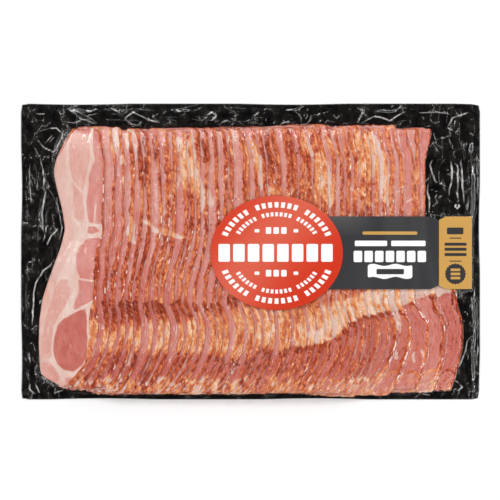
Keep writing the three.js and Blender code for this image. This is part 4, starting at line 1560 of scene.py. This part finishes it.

# %% [markdown]
# The film's finish is a black gloss under a coat. Finer lines than the mesh can carry are drawn by a
# bump, with a faint grey highlight painted along them. Broad patches of painted sheen turn the black
# brownish grey, and each crest gets a pale highlight painted on, as bright as the mesh says it is.

# %% Black film finish
FILM_BLACK = tone(5, 4, 4)
# Brownish grey of the broad painted sheen on the black
FILM_SHEEN_GREY = tone(30, 27, 25)
# Grey of the highlights painted along the fine bump lines
LINE_HIGHLIGHT_GREY = tone(112, 106, 102)
# Pale grey of the highlights painted along the fold crests
CREST_HIGHLIGHT_GREY = tone(222, 219, 216)


def noise_lines(finish, x_length, y_length, sharpness):
    """1 on the lines where a noise passes through its middle, 0 beside them."""
    noise = finish.noise(x_length, y_length, detail=1.5)
    return (1 - (noise - 0.5).size() * sharpness).held()


def black_film_finish():
    """Gloss, thin raised lines along the nearest border, painted grey line and pale crest highlights.
    """
    finish = Finish("glossy_black_film")
    fine = finish.noise(2.2, 3.6, detail=2.0)
    broad = finish.noise(9.0, 14.0, detail=3.0)
    dust = finish.noise(5.0, 5.0, detail=4.0, roughness=0.7)
    along_x = finish.node("ShaderNodeSeparateXYZ", None, {0: finish.place()}, out=0)
    at_side = along_x.size().step(0.135, 0.165)
    side_lines = noise_lines(finish, 9.0, 42.0, 30.0)
    end_lines = noise_lines(finish, 34.0, 8.0, 30.0)
    curls = noise_lines(finish, 11.0, 13.0, 24.0) * broad.step(0.48, 0.6)
    lines = side_lines * at_side + end_lines * (1 - at_side)
    lines = (lines * finish.noise(17.0, 17.0, detail=1.0).step(0.45, 0.65)).most(curls)
    # Painted highlight: pale grey laid along the fold crests, not a whitening of the film
    stretched = finish.attribute("crest").step(0.28, 0.95)
    stretched = stretched * (0.45 + fine.step(0.35, 0.65) * 0.55)
    # Painted sheen: broad noisy patches of brownish grey on the black
    colour = finish.blend(broad.step(0.35, 0.7), FILM_BLACK, FILM_SHEEN_GREY)
    # Painted highlight: faint grey along the fine bump lines
    colour = finish.blend(lines * fine.step(0.4, 0.6) * 0.3, colour, LINE_HIGHLIGHT_GREY)
    colour = finish.blend(stretched, colour, CREST_HIGHLIGHT_GREY)
    return finish.principled({
        "Base Color": colour,
        "Roughness": 0.12 + dust.step(0.4, 0.75) * 0.22,
        "Specular IOR Level": 0.7,
        "Coat Weight": 1.0,
        "Coat Roughness": 0.06,
        "Normal": finish.bump(fine * 0.22 + broad * 0.9 + lines * 0.9, 0.5, 0.75),
    })


black_film = black_film_finish()
backing.data.materials.append(black_film)
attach(backing, "root")
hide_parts("backing_film")
print("nodes of the black film's finish:", len(black_film.node_tree.nodes))

# %% [markdown]
# The clear film hugs the pile. It is a thin closed sheet on a grid whose sides follow the outline of
# the pile, and its border dips into the black film, where the two are welded. A film this thin bends
# no light that passes through it, so the finish mixes a see-through shader with a little gloss: more
# of it in small spots and where the film turns away from the eye, and hardly any beside the pile.

# %% Clear film
FILM_MARGIN = 5.0
FILM_BORDER = 2.2
FILM_TOP_END = 112.0
FILM_COLUMNS = 250
FILM_ROWS = 186
FILM_SHEET = 0.14
# Shares of gloss in the finish: everywhere, and over the pile also in spots and at a slant
BARE_GLOSS = 0.004
PILE_GLOSS = 0.014
SPOT_GLOSS = 0.06
SLANT_GLOSS = 0.24


def clear_film_surface():
    """x = left + (right - left) * u, with left and right outside the pile by the margin."""
    u = np.linspace(0, 1, FILM_COLUMNS)[None, :]
    low, high = -HALF_WIDTH + FILM_BORDER, FILM_TOP_END
    y = np.linspace(low, high, FILM_ROWS)[:, None] + 0 * u
    held_y = np.clip(y, -118, 104)
    left = np.maximum(left_edge(0.0, held_y) - FILM_MARGIN, -HALF_LENGTH + 4)
    right = right_edge(40.0, held_y) + FILM_MARGIN
    beside_band = rise(y, BAND_BOTTOM - 12, BAND_BOTTOM - 2) * rise(BAND_TOP + 12 - y, 0, 10)
    right = np.maximum(right, beside_band * (TAB_MIDDLE + TAB_REACH + 3))
    right = np.minimum(right, HALF_LENGTH - 3)
    x = left + (right - left) * u
    z = read_grid(film_height, x, y)
    wrinkle = 0.10 * layered_noise(x / 3.1, y / 7, 121) + 0.05 * value_noise(x / 1.5, y / 2.2, 122)
    z = z + wrinkle * rise(z, 1, 3)
    from_border = np.minimum(np.minimum(x - left, right - x), np.minimum(y - low, high - y))
    over_pile = rise(read_grid(pile, x, y), 0.8, 2.0)
    return x, y, 0.3 + (np.maximum(z, 1.0) - 0.3) * rise(from_border, 0, 3.0), over_pile


def add_clear_film():
    """The film as a closed sheet, with 1 stored on the points over the pile and 0 beside it."""
    x, y, z, over_pile = clear_film_surface()
    piece = add_sheet("clear_top_film", x, y, z, FILM_SHEET)
    store(piece, "over_pile", np.tile(over_pile.ravel(), 2))
    return piece


def clear_film_finish():
    """See-through mixed with gloss, whose share grows as the film turns away from the eye."""
    finish = Finish("clear_gloss_film")
    creases = finish.noise(1.6, 3.4, detail=3.0, roughness=0.6)
    ripples = finish.noise(6.0, 11.0, detail=2.0)
    over_pile = finish.attribute("over_pile")
    relief = (creases + ripples * 1.2) * (0.15 + over_pile * 0.85)
    normal = finish.bump(relief, 0.45, 0.65)
    facing = finish.node("ShaderNodeLayerWeight", None, {"Blend": 0.5, "Normal": normal}, out=1)
    see_through = finish.node("ShaderNodeBsdfTransparent", None, {"Color": (1.0, 1.0, 1.0, 1.0)})
    gloss = finish.node("ShaderNodeBsdfAnisotropic", None,
                        {"Color": (1.0, 1.0, 1.0, 1.0), "Roughness": 0.13, "Normal": normal})
    spots = finish.noise(1.5, 5.0, detail=2.0, roughness=0.6).step(0.58, 0.66)
    on_pile = PILE_GLOSS + spots * SPOT_GLOSS + (facing ** 4.0) * SLANT_GLOSS
    share = BARE_GLOSS + over_pile * on_pile
    film = finish.node("ShaderNodeMixShader", None, {0: share, 1: see_through, 2: gloss})
    return finish.close(film)


clear_film = add_clear_film()
clear_film.data.materials.append(clear_film_finish())
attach(clear_film, "root")
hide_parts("clear_film")
print("clear film faces:", len(clear_film.data.polygons))

# %% [markdown]
# The label lies on the clear film in three pieces: a red oval, a dark grey band and a gold tab. They
# bridge the small steps between the slices, so they read a much smoother copy of the film's height.

# %% Label shapes
OVAL_X, OVAL_Y = 22.1, -1.2
OVAL_HALF_LENGTH, OVAL_HALF_WIDTH = 56.3, 48.6
PANEL_RIGHT = 159.8
TAB_LEFT, TAB_RIGHT = 160.4, 188.6
CHAMFER_X, CHAMFER_Y = 6.0, 3.0
LABEL_SHEET = 0.25

# A stiff sheet falls no more than this from one grid step to the next
LABEL_FALL = 0.45

label_grid = smoothed(draped(film_height, LABEL_FALL, LABEL_FALL, 30), 40)
shortfall = np.maximum(film_height + 0.2 - label_grid, 0)
label_grid = label_grid + smoothed(draped(shortfall, 0.0, 0.0, 14), 10) + 0.15


def label_height(x, y):
    """The height of the label's underside, read from its grid."""
    return read_grid(label_grid, x, y)


def add_label_oval():
    """Rings from the centre out: x = cx + r * a * cos(t), y = cy + r * b * sin(t)."""
    ring = np.linspace(0.02, 1, 46)[:, None]
    angle = np.linspace(0, 2 * np.pi, 220, endpoint=False)[None, :]
    x = OVAL_X + ring * OVAL_HALF_LENGTH * np.cos(angle)
    y = OVAL_Y + ring * OVAL_HALF_WIDTH * np.sin(angle)
    rings, spokes = x.shape
    upper = np.stack([x, y, label_height(x, y) + LABEL_SHEET], axis=-1).reshape(-1, 3)
    lower = upper - (0, 0, LABEL_SHEET)
    top = grid_quads(rings, spokes, True)
    middle = np.arange(spokes)
    rim = (rings - 1) * spokes + middle
    quads = np.concatenate([top[:, ::-1], top + len(upper), ring_quads(rim, rim + len(upper))])
    caps = [middle, len(upper) + middle[::-1]]
    return add_piece("label_red_oval", np.concatenate([upper, lower]), quads, caps)


def add_label_strip(name, start_at, stop_at, columns):
    """x = start(y) + (stop(y) - start(y)) * u on rows of y from BAND_BOTTOM to BAND_TOP."""
    y = graded((BAND_BOTTOM, BAND_BOTTOM + CHAMFER_Y, 0.5),
               (BAND_BOTTOM + CHAMFER_Y, BAND_TOP - CHAMFER_Y, 1.2),
               (BAND_TOP - CHAMFER_Y, BAND_TOP, 0.5))[:, None]
    u = np.linspace(0, 1, columns)[None, :]
    x = start_at(y) + (stop_at(y) - start_at(y)) * u
    y = y + 0 * x
    return add_sheet(name, x, y, label_height(x, y) + LABEL_SHEET, LABEL_SHEET)


def oval_side(y):
    """x = cx + a * sqrt(1 - ((y - cy) / b) ^ 2), a little outside the oval."""
    across = (y - OVAL_Y) / OVAL_HALF_WIDTH
    return OVAL_X + OVAL_HALF_LENGTH * np.sqrt(1 - across * across) + 0.25


def chamfer(y):
    """How far a corner is cut back: most at the edge, evenly less to 0 above it."""
    to_corner = np.minimum(BAND_TOP - y, y - BAND_BOTTOM)
    return CHAMFER_X * (1 - np.clip(to_corner / CHAMFER_Y, 0, 1))


label_oval = add_label_oval()
label_panel = add_label_strip("label_grey_panel", oval_side,
                              lambda y: PANEL_RIGHT - chamfer(y), columns=80)
label_tab = add_label_strip("label_gold_tab", lambda y: TAB_LEFT + chamfer(y),
                            lambda y: TAB_RIGHT + 0 * y, columns=32)
print("label top mm:", round(float(label_height(np.array(22.0), np.array(0.0))), 1))

# %% [markdown]
# The print is drawn by the finish itself from the place on the label, so it stays sharp at any size.
# Each mark is a mask: a bar with round corners, a ring cut into dashes, or a scalloped disc. All of
# them are plain, in even rows and rings.

# %% Label finishes
PRINT_WHITE = tone(250, 248, 246)
PRINT_RED = tone(207, 54, 30)
# Salmon colour of the glare painted across the red oval
PAINTED_GLARE_SALMON = tone(219, 106, 84)
PRINT_GREY = tone(57, 56, 58)
PRINT_LIGHT_GREY = tone(84, 83, 84)
PRINT_GOLD = tone(202, 156, 84)


def print_place(finish):
    """x and y on the label in mm."""
    place = finish.place()
    x = finish.node("ShaderNodeSeparateXYZ", None, {0: place}, out=0)
    y = finish.node("ShaderNodeSeparateXYZ", None, {0: place}, out=1)
    return x / MM, y / MM


def bar(x, y, left, right, bottom, top, corner=0.6, soft=0.12):
    """A filled bar with round corners: 1 inside and 0 outside."""
    centre_x, centre_y = (left + right) / 2, (bottom + top) / 2
    out_x = ((x - centre_x).size() - ((right - left) / 2 - corner)).most(0.0)
    out_y = ((y - centre_y).size() - ((top - bottom) / 2 - corner)).most(0.0)
    distance = (out_x * out_x + out_y * out_y).math("SQRT") - corner
    return (0.5 - distance / (2 * soft)).held()


def dashed_ring(angle, radius, centre, half_height, count, fill, start, stop):
    """Dashes along part of a ring: count in a full turn, each filling a share of its place."""
    band = ((half_height - (radius - centre).size()) / 0.006).held()
    turn = (angle * (count / (2 * np.pi)) + 100.0).math("FRACT")
    dash = ((fill / 2 - (turn - 0.5).size()) / 0.06).held()
    reach = ((stop - start) / 2 - (angle - (start + stop) / 2).size()).step(0.0, 0.02)
    return band * dash * reach


def printed(finish, base, marks, roughness=0.38):
    """A print finish: marks of (mask, colour) laid over a base colour, with a fine paper grain."""
    colour = base
    for mask, mark_colour in marks:
        colour = finish.blend(mask, colour, mark_colour)
    paper = finish.noise(0.9, 0.9, detail=2.0)
    swell = finish.noise(26.0, 30.0, detail=1.0)
    return finish.principled({
        "Base Color": finish.tint(paper.step(0.3, 0.9) * 0.06, colour, (0.6, 0.6, 0.6, 1.0)),
        "Roughness": roughness + (paper - 0.5) * 0.1,
        "Specular IOR Level": 0.15,
        "Normal": finish.bump(paper * 0.15 + swell, 0.3, 0.2),
    })


# The dashes on the oval come in groups: where each starts and stops, in degrees round it
OUTER_SPANS = ((20.0, 60.0), (66.7, 113.3), (120.0, 160.0))
INNER_SPANS = ((29.0, 63.9), (69.7, 110.3), (116.1, 151.0))


def oval_finish():
    """Red with a paler stripe of painted glare, two rings of dashes and rows of bars."""
    finish = Finish("red_oval_print")
    x, y = print_place(finish)
    across, along = (x - OVAL_X) / OVAL_HALF_LENGTH, (y - OVAL_Y) / OVAL_HALF_WIDTH
    radius = (across * across + along * along).math("SQRT")
    angle = along.math("ARCTAN2", across)
    # Painted reflection: a paler stripe of glare across the red
    painted_glare_line = (x - 8.0) * 0.77 - (y - 2.0) * 0.64
    painted_glare = finish.math("EXPONENT", (painted_glare_line / 30.0) ** 2.0 * -1.0)
    base = finish.blend(painted_glare * 0.78, PRINT_RED, PAINTED_GLARE_SALMON)
    marks = []
    for spans, centre, half_height, count in ((OUTER_SPANS, 0.84, 0.05, 54),
                                              (INNER_SPANS, 0.675, 0.038, 62)):
        for low, high in spans:
            for side in (1, -1):
                start, stop = sorted((side * np.radians(low), side * np.radians(high)))
                dashes = dashed_ring(angle, radius, centre, half_height, count, 0.66, start, stop)
                marks.append((dashes, PRINT_WHITE))
    for number in range(8):
        left = -27.2 + 12.45 * number
        marks.append((bar(x, y, left, left + 9.8, -8.7, 6.4, 1.3), PRINT_WHITE))
    for left in (13.0, 19.5, 26.0):
        marks.append((bar(x, y, left, left + 4.6, 15.0, 20.6, 0.8), PRINT_WHITE))
        marks.append((bar(x, y, left, left + 4.6, -21.2, -15.6, 0.8), PRINT_WHITE))
    for left in (3.5, 36.5):
        marks.append((bar(x, y, left, left + 4.0, 16.2, 19.0, 0.8), PRINT_WHITE))
        marks.append((bar(x, y, left, left + 4.0, -19.8, -17.0, 0.8), PRINT_WHITE))
    return printed(finish, base, marks)


def panel_finish():
    """Dark grey with a lighter corner, a gold bar, rows of bars and a ribbon."""
    finish = Finish("grey_panel_print")
    x, y = print_place(finish)
    corner_glow = ((108.0 - x) / 26.0).held() * ((y - 12.0) / 18.0).held()
    base = finish.blend(corner_glow, PRINT_GREY, PRINT_LIGHT_GREY)
    marks = [(bar(x, y, 95.0, 142.0, 14.3, 17.0, 1.3), PRINT_GOLD)]
    for left, right in ((88.5, 116.0), (119.5, 149.0)):
        marks.append((bar(x, y, left, right, 4.6, 9.2, 0.9), PRINT_WHITE))
    for number in range(7):
        left = 87.5 + 9.1 * number
        marks.append((bar(x, y, left, left + 7.3, -9.0, 0.6, 1.2), PRINT_WHITE))
    wave = ((x - 104.1) * (2 * np.pi / 19.2)).math("COSINE") * 0.9
    marks.append((bar(x, y - wave, 99.6, 137.6, -22.4, -11.4, 1.6), PRINT_WHITE))
    marks.append((bar(x, y, 107.0, 130.5, -19.4, -14.8, 0.9), PRINT_GREY))
    return printed(finish, base, marks)


def tab_finish():
    """Gold with dark bars and a scalloped disc: r < R + tooth * cos(20 * angle)."""
    finish = Finish("gold_tab_print")
    x, y = print_place(finish)
    marks = [(bar(x, y, 167.3, 181.3, 14.6, 20.4, 1.0), PRINT_GREY)]
    for height in (11.4, -8.2):
        marks.append((bar(x, y, 169.5, 179.6, height - 0.45, height + 0.45, 0.3), PRINT_GREY))
    for height in (6.2, 1.9, -2.6):
        marks.append((bar(x, y, 165.3, 184.0, height - 1.3, height + 1.3, 0.7), PRINT_GREY))
    seal_x, seal_y = x - 174.5, y + 19.1
    radius = (seal_x * seal_x + seal_y * seal_y).math("SQRT")
    teeth = (seal_y.math("ARCTAN2", seal_x) * 20.0).math("COSINE") * 0.3
    marks.append((((8.8 - radius + teeth) / 0.25).held(), PRINT_GREY))
    for height in (-15.6, -19.1, -22.6):
        marks.append((bar(x, y, 170.4, 178.6, height - 1.1, height + 1.1, 0.6), PRINT_GOLD))
    return printed(finish, PRINT_GOLD, marks)


LABELS = (
    (label_oval, oval_finish, "label_oval", "label_red"),
    (label_panel, panel_finish, "label_panel", "label_grey"),
    (label_tab, tab_finish, "label_tab", "label_gold"),
)
for piece, make_finish, node_name, slot_name in LABELS:
    piece.data.materials.append(make_finish())
    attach(piece, "root")
    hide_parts(node_name)
print("label pieces:", [piece.name for piece, *_ in LABELS])
